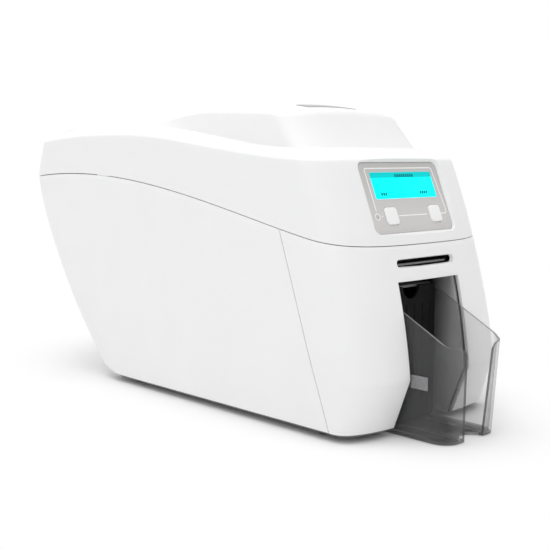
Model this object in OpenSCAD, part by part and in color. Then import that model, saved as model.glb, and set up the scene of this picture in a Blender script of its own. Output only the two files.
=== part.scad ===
// Desktop ID card printer: hinged lid with display, drawer-type card hopper, ribbon and roller drive.
// Built with y = 0 at the card slot and the front towards -Y, then centred on its own footprint.

/* [Case] */
// Width across the side panels
body_w = 164; // [160:1:168]
// How much the case is narrower on each side at its lower edge
foot_in = 1.5; // [1:0.1:3]
// Offset of the case's middle from the middle of the card path
case_shift = 6; // [4:0.5:7]
// Distance from the card slot to the rearmost point
case_depth = 397; // [392:1:402]
// Height of the shell's lower edge above the table
shell_z = 6; // [5.5:0.5:7]
// Wall of every moulded cover
wall = 2.5; // [2:0.1:2.8]
// Gap between neighbouring covers
seam_gap = 0.6; // [0.5:0.1:0.8]
// Height of the table clearance under the base tray
tray_z = 4; // [3:0.5:4.5]
// Thickness of the base tray
tray_t = 4; // [3:0.5:4.5]
// Radius of a rubber foot
foot_r = 8; // [6:0.5:10]

/* [Front face] */
// Height of the crease where the front cover turns under
toe_z = 41; // [38:1:44]
// Place of that crease ahead of the card slot
toe_out = 16.6; // [15:0.2:18]
// How far the front turns back between the crease and the lower edge
undercut = 13.9; // [11:0.5:15]
// Lean of the front face just above the crease
toe_lean = 5.85; // [5:0.1:7]
// Place of the front edge of the shoulder behind the card slot
brow_y = 23.5; // [22:0.5:25]
// Depth of the rounded front corners at the foot
foot_corner = 22; // [20:1:24]
// Depth of the rounded front corners at the crease
toe_corner = 36; // [30:1:42]
// Depth of the rounded front corners at the lid
lid_corner = 43.5; // [40:0.5:46]
// Fullness of the front corners, 2 is an ellipse
corner_power = 3.05; // [2.8:0.05:3.2]

/* [Back] */
// Height of the rearmost point
tail_z = 172; // [170:0.5:174]
// How far the back sweeps forward at the lower edge
tail_sweep = 102; // [96:0.5:105]
// Curve of that sweep
tail_power = 1.43; // [1.36:0.01:1.5]
// Depth of the rounded rear corners
rear_corner = 22; // [19:1:25]
// Half width of the rear cover between the side panels
rear_cover_half = 62; // [60:0.5:64]

/* [Seams and shoulder] */
// Height of the lid seam at the front
seam_front_z = 129; // [128:0.5:130]
// Rise of the lid seam towards the back
seam_rise = 45.5; // [44:0.5:47]
// Height of the shoulder edge at the front
shoulder_z = 187.7; // [187:0.1:189]
// Rise of the shoulder edge towards the back
shoulder_rise = 20; // [18:0.5:22]
// Rounding of the shoulder edge
shoulder_r = 2.2; // [1.6:0.1:2.6]
// Place of the seam between front cover and side panels at the lower edge
cheek_foot_y = 19.6; // [19.4:0.1:22]
// Place of the same seam at the lid
cheek_top_y = 66; // [64:0.5:70]

/* [Hood] */
// Width of the ledge on each side of the hood
ledge_w = 15; // [13.5:0.5:17]
// How much the hood narrows on each side up to its upper edge
hood_in = 3.5; // [2.5:0.1:6]
// Place of the hood's foot at the front
hood_front_y = 54; // [52:0.5:57]
// Place of the hood's upper edge at the front
hood_brow_y = 74; // [71:0.5:77]
// Height of the hood's foot at the front
hood_foot_z = 195; // [194:0.5:196]
// Rise of the hood's foot towards the middle
hood_foot_rise = 17.5; // [15:0.5:18]
// Height of the hood's ridge
ridge_z = 235; // [233:0.5:237]
// Fall of the roof from the ridge to the upper side edges
crown = 10; // [8:0.5:11]
// Place of the front edge of the blank badge plate
badge_y = 93; // [90:1:96]
// Length of the blank badge plate
badge_w = 52; // [44:1:56]
// Depth of the blank badge plate
badge_d = 13; // [10:0.5:15]

/* [Control panel] */
// Width of the panel
panel_w = 82.5; // [80:0.5:84]
// Height of the panel
panel_h = 51.25; // [50:0.25:52]
// Height of the panel's lower edge above the table
panel_z = 137.4; // [137:0.1:138]
// Place of the panel's lower edge behind the card slot
panel_y = 6.9; // [6.4:0.1:7.4]
// Lean of the panel
panel_lean = 21.8; // [21:0.1:22.4]
// Radius of the panel's corners
panel_r = 5; // [4:0.5:6]
// Thickness of the panel's face plate
bezel_t = 2; // [1.6:0.1:2.4]
// Thickness of the lid's front wall around the panel
brow_wall = 6; // [5.5:0.1:6.5]
// Width of the display window
window_w = 67.1; // [64:0.5:69]
// Height of the display window
window_h = 19.3; // [18:0.1:20]
// Height of the display window's lower edge on the panel
window_rise = 24.7; // [24:0.1:25.4]
// Shift of the display window from the middle
window_shift = 0.7; // [0:0.1:1.2]
// Thickness of the display window
window_t = 1.2; // [1:0.1:1.4]
// Width and height of a button
button_size = 12.4; // [11.6:0.1:12.8]
// Height of the buttons' middle on the panel
button_rise = 12.3; // [12:0.1:12.6]
// Distance of the left button's middle from the panel's left end
left_button_in = 19.15; // [18.6:0.05:19.6]
// Distance of the right button's middle from the panel's right end
right_button_in = 15.35; // [15:0.05:16]
// How far a button stands out of the panel
button_proud = 1.1; // [0.9:0.1:1.4]
// Distance of the lamp from the panel's left end
led_in = 4.65; // [4.3:0.05:5.2]
// Radius of the lamp
led_r = 1.5; // [1.2:0.1:1.8]

/* [Card path] */
// Height of the middle of the card path
path_z = 117.6; // [117.2:0.1:118]
// Width of the hand-feed slot
slot_w = 60; // [58:0.5:62]
// Height of the hand-feed slot
slot_h = 4.8; // [4.6:0.1:5.2]
// Width of a card
card_w = 54; // [53.5:0.1:54.4]
// Thickness of a card
card_t = 0.76; // [0.7:0.02:0.84]
// Thickness of the bed plates
bed_t = 2.8; // [2.4:0.1:3]
// Gap between the bed plates and the rollers
bed_gap = 0.8; // [0.7:0.05:0.95]
// Distance of the bed's rear end from the rearmost point
bed_end_in = 57; // [53:1:63]

/* [Hopper] */
// Width of the hopper opening in the front cover
bay_w = 65.5; // [65:0.1:66]
// Height of the top of the hopper opening
bay_top_z = 105.7; // [105:0.1:106]
// Width of the hopper across the top of its side walls
hopper_w = 62.4; // [62:0.1:62.6]
// Width of the hopper across the foot of its side walls
hopper_foot_w = 58.8; // [58.6:0.1:59.6]
// Wall of the hopper
hopper_t = 1.8; // [1.6:0.1:1.9]
// Reach of the hopper ahead of the card slot
hopper_reach = 44; // [42:0.5:46]
// Height of the hopper floor above the table
hopper_z = 1.4; // [1.2:0.1:1.6]
// Height of the hopper's front corners
hopper_front_z = 62; // [60:0.5:64]
// Height of the hopper's side walls at the stack
hopper_side_z = 103; // [102:0.5:103]
// Slope of the side walls' upper edge towards the front
hopper_slope = 28.3; // [27:0.1:29]
// Depth of the cut corners at the hopper's front
hopper_cut = 7; // [5:0.5:8]
// Radius of the thumb notch in the hopper's front
notch_r = 10.4; // [9:0.2:12]
// Place of the gate between output tray and card stack
gate_y = 11; // [9:0.5:12]
// Thickness of the gate
gate_t = 2.5; // [2:0.1:2.8]
// Height of the gate
gate_z = 99; // [97:0.5:99.2]
// Inside length of the card stack
stack_len = 97; // [92:0.5:98]
// Thickness of the lift plate
lift_t = 2; // [1.8:0.1:2.4]
// Travel of the lift plate
lift_travel = 74; // [66:1:78]
// Radius of the lift spring's coils
lift_spring_r = 11; // [9:0.5:13]
// Wire radius of the lift spring
lift_wire_r = 0.8; // [0.6:0.1:1]

/* [Chassis] */
// Distance between the chassis plates
chassis_gap = 76; // [74.5:0.5:77]
// Thickness of a chassis plate
chassis_t = 1.5; // [1.2:0.1:2]
// Radius of a cross bar
bar_r = 3; // [2.5:0.1:3.2]
// Width of a chassis plate's foot flange
flange_foot_w = 9; // [8:0.5:10]

/* [Rollers] */
// Radius of the steel shafts
shaft_r = 3; // [2.6:0.1:3.2]
// Outer radius of a bush
bush_r = 4.6; // [4.2:0.1:5]
// Running clearance round shafts and pins
run_fit = 0.05; // [0.03:0.01:0.08]
// Radius of the pick roller
pick_r = 6.5; // [6:0.1:6.6]
// Place of the pick roller
pick_y = 66; // [60:1:72]
// Radius of the drive rollers
drive_r = 7; // [6.8:0.1:7.2]
// Radius of the pinch rollers
pinch_r = 5; // [4.9:0.1:5.2]
// Radius of the cleaning roller
clean_r = 8; // [7.6:0.1:8.2]
// Radius of the platen roller
platen_r = 8; // [7.8:0.1:8.2]
// Place of the infeed rollers
infeed_y = 150; // [148:0.5:151]
// Place of the cleaning roller
clean_y = 173; // [172:0.5:174]
// Place of the platen roller and the print line
platen_y = 205; // [204:0.5:207]
// Place of the exit rollers
exit_y = 250; // [248:0.5:252]

/* [Drive] */
// Radius of the roller pulleys
pulley_r = 8; // [7.5:0.1:8.4]
// Radius of the motor pulley
motor_pulley_r = 6; // [5.5:0.1:6.5]
// Width of a belt
belt_w = 4; // [3.5:0.1:4.4]
// Thickness of a belt
belt_t = 1; // [0.8:0.1:1.2]
// Size of the transport motor across its flats
motor_w = 42; // [40:0.5:43]
// Length of the transport motor
motor_len = 34; // [30:1:38]
// Height of the transport motor's shaft
motor_z = 60; // [56:1:64]

/* [Ribbon] */
// Place of the supply spool
supply_y = 247; // [245:0.5:249]
// Place of the take-up spool
takeup_y = 162; // [160:0.5:164]
// Height of the ribbon spools
spool_z = 159; // [158:0.5:160]
// Radius of the ribbon wound on the supply spool
supply_r = 17; // [15:0.5:18]
// Radius of the ribbon wound on the take-up spool
takeup_r = 10; // [9:0.5:12]
// Radius of the spool flanges
spool_flange_r = 19; // [18.5:0.5:19.5]
// Width of the ribbon
ribbon_w = 58; // [57:0.5:59]
// Thickness of the ribbon run
film_t = 0.3; // [0.26:0.02:0.34]
// Radius of the ribbon guide bars
guide_r = 2.5; // [2.2:0.1:2.8]
// Radius of the ribbon motor
ribbon_motor_r = 13; // [11:0.5:14]
// Length of the ribbon motor
ribbon_motor_len = 24; // [20:1:26]

/* [Print head] */
// Width of the print head
head_w = 62; // [60:1:66]
// Depth of the print head along the path
head_d = 14; // [12:0.5:15]
// Height of the print head with its heat sink
head_h = 30; // [27:0.5:32]
// Travel of the floating print head
head_travel = 3; // [2:0.5:4]
// Radius of the head's guide pins
head_pin_r = 2.5; // [2.2:0.1:2.8]

/* [Lid frame and hinge] */
// Height of the lid frame
frame_z = 178; // [177:0.5:178.5]
// Thickness of the lid frame
frame_t = 6; // [5:0.5:6]
// Width of the frame's rails
rail_w = 7; // [6:0.5:8]
// Opening angle of the lid
lid_open = 100; // [96:1:104]
// Distance of the hinge axis from the rearmost point
hinge_inset = 4.4; // [4.2:0.1:4.6]
// Radius of the hinge knuckles
knuckle_r = 3; // [2.6:0.1:3]
// Radius of the hinge pins
hinge_pin_r = 1.25; // [1.1:0.05:1.4]
// Length of a knuckle on the lid
lid_knuckle = 16; // [14:0.5:18]
// Length of a knuckle on the chassis
body_knuckle = 8; // [7:0.5:9]
// Distance of the hinges from the middle
hinge_x = 24; // [23.5:0.1:24.5]

/* [Rear sockets] */
// Half width of the socket recess
recess_half = 33; // [32:0.5:34]
// Height of the floor of the socket recess
recess_z = 93; // [92.5:0.5:94]
// Height of the socket recess
recess_h = 20; // [18:0.5:21]
// Depth of the socket recess from the rearmost point
recess_depth = 44; // [43.5:0.1:44.5]
// Thickness of the circuit board
board_t = 1.6; // [1.4:0.1:1.8]
// Height of the circuit board
board_z = 90; // [89:0.5:90.5]
// Length of the circuit board
board_len = 82; // [78:1:86]
// Width of the security slot
lock_w = 7; // [6.5:0.5:8]
// Height of the security slot
lock_h = 4.4; // [4.2:0.1:5]

/* [Fan] */
// Size of the fan frame
fan_w = 40; // [38:1:42]
// Depth of the fan frame
fan_d = 10; // [8:0.5:11]
// Distance of the fan's front from the rearmost point
fan_in = 121; // [120:0.5:127]
// Number of fan blades
blades = 7; // [5:1:9]

/* [Hidden] */

// Fine circles for everything that turns or is drilled
$fn = 48;

// Clearances
fit = 0.3;
tiny = 0.02;

// The whole printer is centred between the hopper's front and the back of the case
mid_y = (case_depth - hopper_reach) / 2;

// Sizes and places that follow the case and the panel
foot_w = body_w - 2 * foot_in;
hood_w = body_w - 2 * ledge_w;
hood_top_w = hood_w - 2 * hood_in;
recess_y = case_depth - recess_depth;
fan_y = case_depth - fan_in;
bed_end_y = case_depth - bed_end_in;
left_button_x = panel_w / 2 - left_button_in;
right_button_x = panel_w / 2 - right_button_in;
led_x = panel_w / 2 - led_in;

// Case curve
foot_flare_h = 60;
corner_rise = 88;
heel = 11;
heel_h = 8;
crest_sweep = 11.9;
crest_h = 33;
crest_power = 1.25;
seam_start_y = -5;
seam_run = 322;
seam_power = 0.755;
seam_droop = 3;
seam_droop_y = 320;
seam_droop_run = 62;
shoulder_start_y = 30;
shoulder_run = 230;
hood_foot_start_y = 60;
hood_foot_run = 170;
tail_droop = 4.5;
tail_droop_y = 280;
tail_droop_run = 90;
brow_h = shoulder_z - toe_z;
brow_lean = (brow_y + toe_out - tan(toe_lean) * brow_h) / pow(brow_h, 2);

// Hood curve
hood_corner = 25;
hood_brow_corner = 22;
hood_rear_in = 18;
hood_tail_in = 24;
ridge_y = 205;
brow_fall = 13;
tail_fall = 16;
crown_front = 4.5;
crown_run = 90;
brim_z = 214;
brim_start_y = 150;
brim_run = 100;
roof_power = 2.2;

// Place from which a point's height on a sloping seam is searched
search_y = 100;

// Steps round the front corners, along the sides and round the rear corners
front_steps = 8;
side_steps = 9;
rear_steps = 5;
half_steps = front_steps + side_steps + rear_steps;

// ---------------------------------------------------------------- curves of the case

function mix(a, b, t) = a + (b - a) * t;
function smooth(t) = let (u = min(1, max(0, t))) u * u * (3 - 2 * u);
function half_w(z) = mix(foot_w, body_w, smooth((z - shell_z) / foot_flare_h)) / 2;
function front_y(z) = z > toe_z
    ? -toe_out + tan(toe_lean) * (z - toe_z) + brow_lean * pow(z - toe_z, 2)
    : -toe_out + undercut * (toe_z - z) / (toe_z - shell_z);
function rear_y(z) = z > tail_z
    ? case_depth - crest_sweep * pow((z - tail_z) / crest_h, crest_power)
    : case_depth - tail_sweep * pow((tail_z - z) / (tail_z - shell_z), tail_power)
        - heel * pow(max(0, 1 - (z - shell_z) / heel_h), 2);
function corner_depth(z) = z > toe_z
    ? mix(toe_corner, lid_corner, smooth((z - toe_z) / corner_rise))
    : mix(foot_corner, toe_corner, (z - shell_z) / (toe_z - shell_z));
function droop(y, start, run, fall) = fall * pow(max(0, y - start) / run, 2);
function seam_z(y) = seam_front_z
    + seam_rise * smooth(pow(min(1, max(0, y - seam_start_y) / seam_run), seam_power))
    - droop(y, seam_droop_y, seam_droop_run, seam_droop);
function edge_z(y) = shoulder_z + shoulder_rise * smooth((y - shoulder_start_y) / shoulder_run)
    - droop(y, tail_droop_y, tail_droop_run, tail_droop);
function hood_z(y) = hood_foot_z + hood_foot_rise * smooth((y - hood_foot_start_y) / hood_foot_run)
    - droop(y, tail_droop_y, tail_droop_run, tail_droop);
function ridge(y) = y < ridge_y
    ? ridge_z - brow_fall * pow((ridge_y - y) / (ridge_y - hood_brow_y), 2)
    : ridge_z - tail_fall * pow((y - ridge_y) / (case_depth - ridge_y), 2);
function brim(y) = mix(ridge(y) - mix(crown_front, crown, smooth((y - hood_brow_y) / crown_run)),
    brim_z, smooth((y - brim_start_y) / brim_run));
function roof_z(x, y) = ridge(y) - (ridge(y) - brim(y)) * pow(abs(2 * x / hood_top_w), roof_power);
function cheek_y(z) = mix(cheek_foot_y, cheek_top_y, (z - shell_z) / (seam_z(cheek_top_y) - shell_z));

// A quarter of a rounded corner: a runs from 0 on the middle line to 90 on the side
function corner_x(a, half, n) = half * pow(sin(a), 2 / n);
function corner_y(a, depth, n) = depth * (1 - pow(max(0, cos(a)), 2 / n));

// Point i on the right half of a plan outline, from the front middle to the rear middle
function plan(i, half, front, front_depth, rear, rear_depth, n) =
    i <= front_steps ? let (a = 90 * i / front_steps)
        [corner_x(a, half, n), front + corner_y(a, front_depth, n)]
    : i <= front_steps + side_steps ? let (t = (i - front_steps) / side_steps)
        [half, mix(front + front_depth, rear - rear_depth, t)]
    : let (a = 90 * (half_steps - i) / rear_steps)
        [corner_x(a, half, n), rear - corner_y(a, rear_depth, n)];

// Plan outline of the case at height z, set in by d, and by front at the front
function case_plan(i, z, d, front) = plan(i, half_w(z) - d, front_y(z) + front,
    corner_depth(z) - d, rear_y(z) - d, rear_corner - d, corner_power);

// Point on the lid's flank, v of the way from the seam to the shoulder edge
function flank(i, v, d, front, low, high) =
    let (p0 = case_plan(i, mix(seam_z(search_y), edge_z(search_y), v), d, front))
    let (z1 = mix(seam_z(p0.y) + low, edge_z(p0.y) - high, v), p1 = case_plan(i, z1, d, front))
    let (z2 = mix(seam_z(p1.y) + low, edge_z(p1.y) - high, v), p2 = case_plan(i, z2, d, front))
    [p2.x, p2.y, mix(seam_z(p2.y) + low, edge_z(p2.y) - high, v)];

// Hood outline, t from its foot (0) to its upper edge (1)
function hood_plan(i, t, d) = plan(i, mix(hood_w, hood_top_w, t) / 2 - d,
    mix(hood_front_y, hood_brow_y, t) + d, mix(hood_corner, hood_brow_corner, t),
    case_depth - mix(hood_rear_in, hood_tail_in, t) - d, rear_corner - d, corner_power);
function hood_point(i, t, d, lift) = let (p = hood_plan(i, t, d))
    [p.x, p.y, mix(hood_z(p.y), roof_z(p.x, p.y), lift) - d];

// Roof outline shrunk towards the ridge
function roof_point(i, s, d) = let (p = hood_plan(i, 1, d))
    let (q = [p.x * s, mix(ridge_y, p.y, mix(1, s, 0.4))]) [q.x, q.y, roof_z(q.x, q.y) - d];

// ---------------------------------------------------------------- lofts

// Closed ring from the points of its right half
function full_ring(half_ring) = concat(half_ring,
    [for (i = [half_steps - 1 : -1 : 1]) [-half_ring[i].x, half_ring[i].y, half_ring[i].z]]);

// Side faces of a stack of rings with n points each
function side_faces(rings, n) = [
    for (r = [0 : rings - 2], j = [0 : n - 1], s = [0, 1])
        let (k = (j + 1) % n, a = r * n, b = a + n)
        s == 0 ? [a + j, b + j, b + k] : [a + j, b + k, a + k]
];

// End faces that join point j to its partner across the ring; shift is 1 where the ring starts
// on the middle line and 0 where it starts beside its last point
function end_faces(base, n, shift) = [
    for (j = [0 : n / 2 - 1], s = [0, 1])
        let (a = base + j, b = base + j + 1)
        let (c = base + (n - 1 - j + shift) % n, d = base + n - 2 - j + shift)
        if (s == 0 ? b != d : a != c) s == 0 ? [a, b, d] : [a, d, c]
];
function flipped(faces) = [for (f = faces) [f[2], f[1], f[0]]];

module loft(rings, shift) {
    n = len(rings[0]);
    count = len(rings);
    polyhedron(
        points = [for (r = rings, p = r) p],
        faces = concat(side_faces(count, n), end_faces(0, n, shift),
            flipped(end_faces((count - 1) * n, n, shift))));
}

// ---------------------------------------------------------------- small helpers

module place() {
    translate([-case_shift, -mid_y, 0]) children();
}

// Moves from the middle of the card path to the middle of the case
module cased() {
    translate([case_shift, 0, 0]) children();
}

// Cylinder along X between two places
module rod(x0, x1, r) {
    translate([x0, 0, 0]) rotate([0, 90, 0]) cylinder(r = r, h = x1 - x0);
}

// Moves to a point given as [y, z]
module at(p) {
    translate([0, p[0], p[1]]) children();
}

// Outline in the side view, drawn out along X from x0
module side_plate(x0, t, outline) {
    translate([x0, 0, 0]) rotate([90, 0, 90]) linear_extrude(t) polygon(outline);
}

// Box from its lowest corner to its highest corner
module block(low, high) {
    translate(low) cube(high - low);
}

module rounded_rect(w, h, r) {
    square([w - 2 * r, h], center = true);
    square([w, h - 2 * r], center = true);
    for (x = [-1, 1], y = [-1, 1]) translate([x * (w / 2 - r), y * (h / 2 - r)]) circle(r);
}

module both_sides() {
    children();
    mirror([1, 0, 0]) children();
}

// ---------------------------------------------------------------- derived places

tray_top = tray_z + tray_t;
chassis_in = chassis_gap / 2;
chassis_out = chassis_in + chassis_t;
bed_top = path_z - card_t / 2 - 0.42;
bed_low = bed_top - bed_t;
drive_z = path_z - card_t / 2 - drive_r;
platen_z = path_z - card_t / 2 - platen_r;
pinch_z = path_z + card_t / 2 + pinch_r;
clean_z = path_z + card_t / 2 + clean_r;
card_half = card_w / 2;
// The platen's pulley runs under the same belt
platen_pulley_r = pulley_r + platen_r - drive_r;
shaft_end = chassis_out + 3;
pulley_x = shaft_end + 0.5;
outer_belt_x = pulley_x + belt_w + 1;
pinch_half = 20;

// Hopper and its bay
bay_half = bay_w / 2;
liner_t = 2;
liner_back_y = gate_y + gate_t + stack_len + hopper_t + 4;
liner_tail_y = liner_back_y - 12;
hopper_front = -hopper_reach;
hopper_back = gate_y + gate_t + stack_len + hopper_t;
hopper_floor = hopper_z + hopper_t;
hopper_side_h = hopper_side_z - hopper_z;
hopper_bend_z = hopper_front_z + 6;
hopper_draft = atan((hopper_w - hopper_foot_w) / 2 / hopper_side_h);
hopper_back_z = gate_z - 3;
runner_z = tray_top + 1;
runner_t = 2;
lift_top = gate_z + 0.6;
lift_low = lift_top - lift_t;
pick_z = lift_top + 0.5 + pick_r;
plate_half = card_half - 0.6;

// Control panel
button_r = 2.6;
button_flange = 1.3;
button_travel = 0.8;
lcd_t = 6;
panel_back = bezel_t + lcd_t + fit;

// Motor boss and shaft
motor_boss_r = 11;
motor_shaft_r = 2.5;

// Ribbon run
head_low = path_z + card_t / 2 + 0.5;
run_z = path_z + card_t / 2 + 0.1;
guide_drop = 5.5;
guide_z = run_z + film_t + guide_r + guide_drop;
guide_gap = 12.5;

// Print head carriage, in the lid
beam_y = platen_y - head_d / 2 + 1;
beam_d = head_d - 2;
carriage_low = head_low + head_h;
carriage_top = carriage_low + 16;
post_at = [70, 190, 310];
post_r = 3;
carriage_half = head_w / 2 + 1;
head_pin_x = carriage_half - 7;

// Hinge
hinge_y = case_depth - hinge_inset;
hinge_z = seam_z(case_depth);
hinge_low = hinge_x - lid_knuckle / 2;
hinge_high = hinge_x + lid_knuckle / 2;
bracket_h = 22;
bracket_t = 2;

// Shafts as [y, z]
chassis_back_y = hinge_y - 10;
pick_at = [pick_y, pick_z];
infeed_at = [infeed_y, drive_z];
infeed_pinch_at = [infeed_y, pinch_z];
clean_at = [clean_y, clean_z];
platen_at = [platen_y, platen_z];
exit_at = [exit_y, drive_z];
exit_pinch_at = [exit_y, pinch_z];
supply_at = [supply_y, spool_z];
takeup_at = [takeup_y, spool_z];
motor_at = [(infeed_y + exit_y) / 2, motor_z];
shafts = [pick_at, infeed_at, infeed_pinch_at, clean_at, platen_at, exit_at, exit_pinch_at];
guides = [[platen_y + guide_gap + head_d / 2, guide_z], [platen_y - guide_gap - head_d / 2, guide_z]];
bar_low_z = 20;
bar_high_z = path_z + 22;
bars = [[35, path_z + 9.4], [infeed_y - 8, bar_low_z], [fan_y - 11, bar_low_z],
    [chassis_back_y - 78, bar_high_z], [infeed_y + 20, 70]];

// Chassis outline
chassis_top_front = path_z + 14;
recess_t = 2;
recess_back = recess_y - recess_t;
recess_room = recess_back - 1.5;
feet_at = [[62, 36], [62, fan_y - 26]];
screw_at = [[chassis_out + 5, 130], [chassis_out + 5, fan_y - 14]];
screw_r = 1.5;

// Magnets on the chassis hold steel strikers that hang from the front of the lid frame
magnet_x = chassis_out + 1;
magnet_w = 10;
magnet_h = 5;
magnet_d = 10;
magnet_y = 44;
magnet_top = chassis_top_front + 2;
striker_t = 1.5;
striker_end_y = magnet_y + magnet_d - 1;

// Card stack and output flap
spring_y = gate_y + gate_t + stack_len / 2;
flap_y = 15;
flap_z = bed_top - 2.2;
flap_len = 12;
flap_pin_r = 1.8;

// Sockets on the board and the switch beside them
board_top = board_z + board_t;
board_end_y = recess_y - 3.2;
board_y = board_end_y - board_len;
socket_len = 16;
socket_front = recess_y + 0.4;
switch_x = -24;
switch_w = 13;
switch_h = 17;
switch_wall = 1.2;
switch_z = recess_z + 1.5;
switch_mid = switch_z + switch_h / 2;
switch_y = recess_y - 1.5;
switch_tilt = 8;
switch_pin_r = 1.2;
inlet_x = -8;
inlet_w = 12;
inlet_h = 12;
inlet_mid_z = board_top + inlet_h / 2;
inlet_pin_r = 0.7;
inlet_mouth_r = 3.4;
usb_x = 8;
usb_w = 12;
usb_h = 11;
usb_mouth = 8;
lan_x = 24;
lan_w = 16;
lan_h = 13.5;
lan_mouth_w = 12;
lan_mouth_h = 8;

// Vents and security slot in the rear cover
vent_rows = 6;
vent_w = 44;
vent_h = 2.4;
vent_pitch = 6;
vent_z = 20;
lock_x = -48;
lock_z = 128;

// ---------------------------------------------------------------- covers

// Front cover: rows of points from the left seam round the front to the right seam
cheek_steps = 3;
front_half = cheek_steps + front_steps;
function front_row(z_of, d) = [
    for (j = [-front_half : front_half])
        let (i = abs(j), s = j < 0 ? -1 : 1)
        let (p0 = front_point(i, z_of, seam_z(0), d), p1 = front_point(i, z_of, seam_z(p0.y), d))
        let (p2 = front_point(i, z_of, seam_z(p1.y), d))
        [s * p2.x, p2.y, p2.z]
];
// Place of column i at v of the way up to the seam at height top; v below 1 is under the crease
function front_point(i, v, top, d) =
    let (z = v < 1 ? mix(shell_z, toe_z, v) : mix(toe_z, top - seam_gap / 2, v - 1))
    i <= front_steps
        ? let (p = plan(i, half_w(z) - d, front_y(z) + d, corner_depth(z) - d, 200, 0, corner_power))
            [p.x, p.y, z]
        : let (t = (i - front_steps) / cheek_steps)
            [half_w(z) - d, mix(front_y(z) + corner_depth(z), cheek_y(z) - seam_gap / 2, t), z];

module front_shell() {
    loft([for (v = [0, 0.5, 1, 1.2, 1.4, 1.6, 1.8, 2])
        concat(front_row(v, 0), [for (j = [2 * front_half : -1 : 0]) front_row(v, wall)[j]])], 0);
}

module front_cover() {
    color("white") place() difference() {
        cased() front_shell();
        block([-bay_half, hopper_front, -1], [bay_half, gate_y, bay_top_z]);
        hull() for (s = [-1, 1])
            translate([s * (slot_w - slot_h) / 2, 0, path_z]) rotate([90, 0, 0])
                cylinder(r = slot_h / 2, h = 8 * wall, center = true, $fn = 24);
    }
}

// Heights of the rows of the side panels and the rear cover, as shares of their height
shell_rows = [0, 0.03, 0.07, 0.2, 0.4, 0.6, 0.76, 0.88, 0.95, 1];

// Side panel: columns from the front seam to the seam with the rear cover
side_columns = 8;
tail_columns = 4;
function side_point(i, v, d) =
    let (p0 = side_place(i, 90, d), z1 = mix(shell_z, seam_z(p0.y) - seam_gap / 2, v))
    let (p1 = side_place(i, z1, d), z2 = mix(shell_z, seam_z(p1.y) - seam_gap / 2, v))
    let (p2 = side_place(i, z2, d))
    [p2.x, p2.y, mix(shell_z, seam_z(p2.y) - seam_gap / 2, v)];
function side_place(i, z, d) = i <= side_columns
    ? [half_w(z) - d, mix(cheek_y(z) + seam_gap / 2, rear_y(z) - rear_corner, i / side_columns)]
    : let (half = half_w(z) - d, end = asin(pow((rear_cover_half + seam_gap / 2) / half, corner_power / 2)))
        let (a = mix(90, end, (i - side_columns) / tail_columns))
        [corner_x(a, half, corner_power), rear_y(z) - d - corner_y(a, rear_corner - d, corner_power)];

module side_shell() {
    count = side_columns + tail_columns;
    loft([for (v = shell_rows)
        concat([for (i = [0 : count]) side_point(i, v, 0)],
            [for (i = [count : -1 : 0]) side_point(i, v, wall)])], 0);
}

// Groove across the back that lets the lid swing past the vertical
module hinge_groove() {
    reach = 10;
    rise = reach * tan(lid_open / 2 + 2);
    side_plate(-body_w, 2 * body_w,
        [[hinge_y, hinge_z], [hinge_y + reach, hinge_z - rise], [hinge_y + reach, hinge_z + rise]]);
}

// Room for the hinge knuckles in the covers
module hinge_relief() {
    both_sides() at([hinge_y, hinge_z])
        rod(hinge_low - fit - body_knuckle - 1, hinge_high + fit + body_knuckle + 1, knuckle_r + 0.4);
}

module side_panel() {
    difference() {
        side_shell();
        hinge_groove();
    }
}

module left_side_panel() {
    color("white") place() cased() mirror([1, 0, 0]) side_panel();
}

module right_side_panel() {
    color("white") place() cased() side_panel();
}

// Rear cover: columns across the back between the side panels
rear_columns = 4;
function rear_point(i, v, d) =
    let (p0 = rear_place(i, 90, d), z1 = mix(shell_z, seam_z(p0.y) - seam_gap / 2, v))
    let (p1 = rear_place(i, z1, d))
    [p1.x, p1.y, mix(shell_z, seam_z(p1.y) - seam_gap / 2, v)];
function rear_place(i, z, d) =
    let (half = half_w(z) - d, x = (rear_cover_half - seam_gap / 2) * i / rear_columns)
    [x, rear_y(z) - d - (rear_corner - d) * (1 - pow(1 - pow(abs(x) / half, corner_power), 1 / corner_power))];

module rear_shell() {
    loft([for (v = shell_rows)
        concat([for (i = [rear_columns : -1 : -rear_columns]) rear_point(i, v, 0)],
            [for (i = [-rear_columns : rear_columns]) rear_point(i, v, wall)])], 0);
}

module socket_holes() {
    block([switch_x - switch_w / 2 - fit, recess_back - 1, switch_z - fit],
        [switch_x + switch_w / 2 + fit, recess_y + 1, switch_z + switch_h + fit]);
    block([inlet_x - inlet_w / 2 - fit, recess_back - 1, board_top - 1],
        [inlet_x + inlet_w / 2 + fit, recess_y + 1, board_top + inlet_h + fit]);
    block([usb_x - usb_w / 2 - fit, recess_back - 1, board_top - 1],
        [usb_x + usb_w / 2 + fit, recess_y + 1, board_top + usb_h + fit]);
    block([lan_x - lan_w / 2 - fit, recess_back - 1, board_top - 1],
        [lan_x + lan_w / 2 + fit, recess_y + 1, board_top + lan_h + fit]);
}

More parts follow.
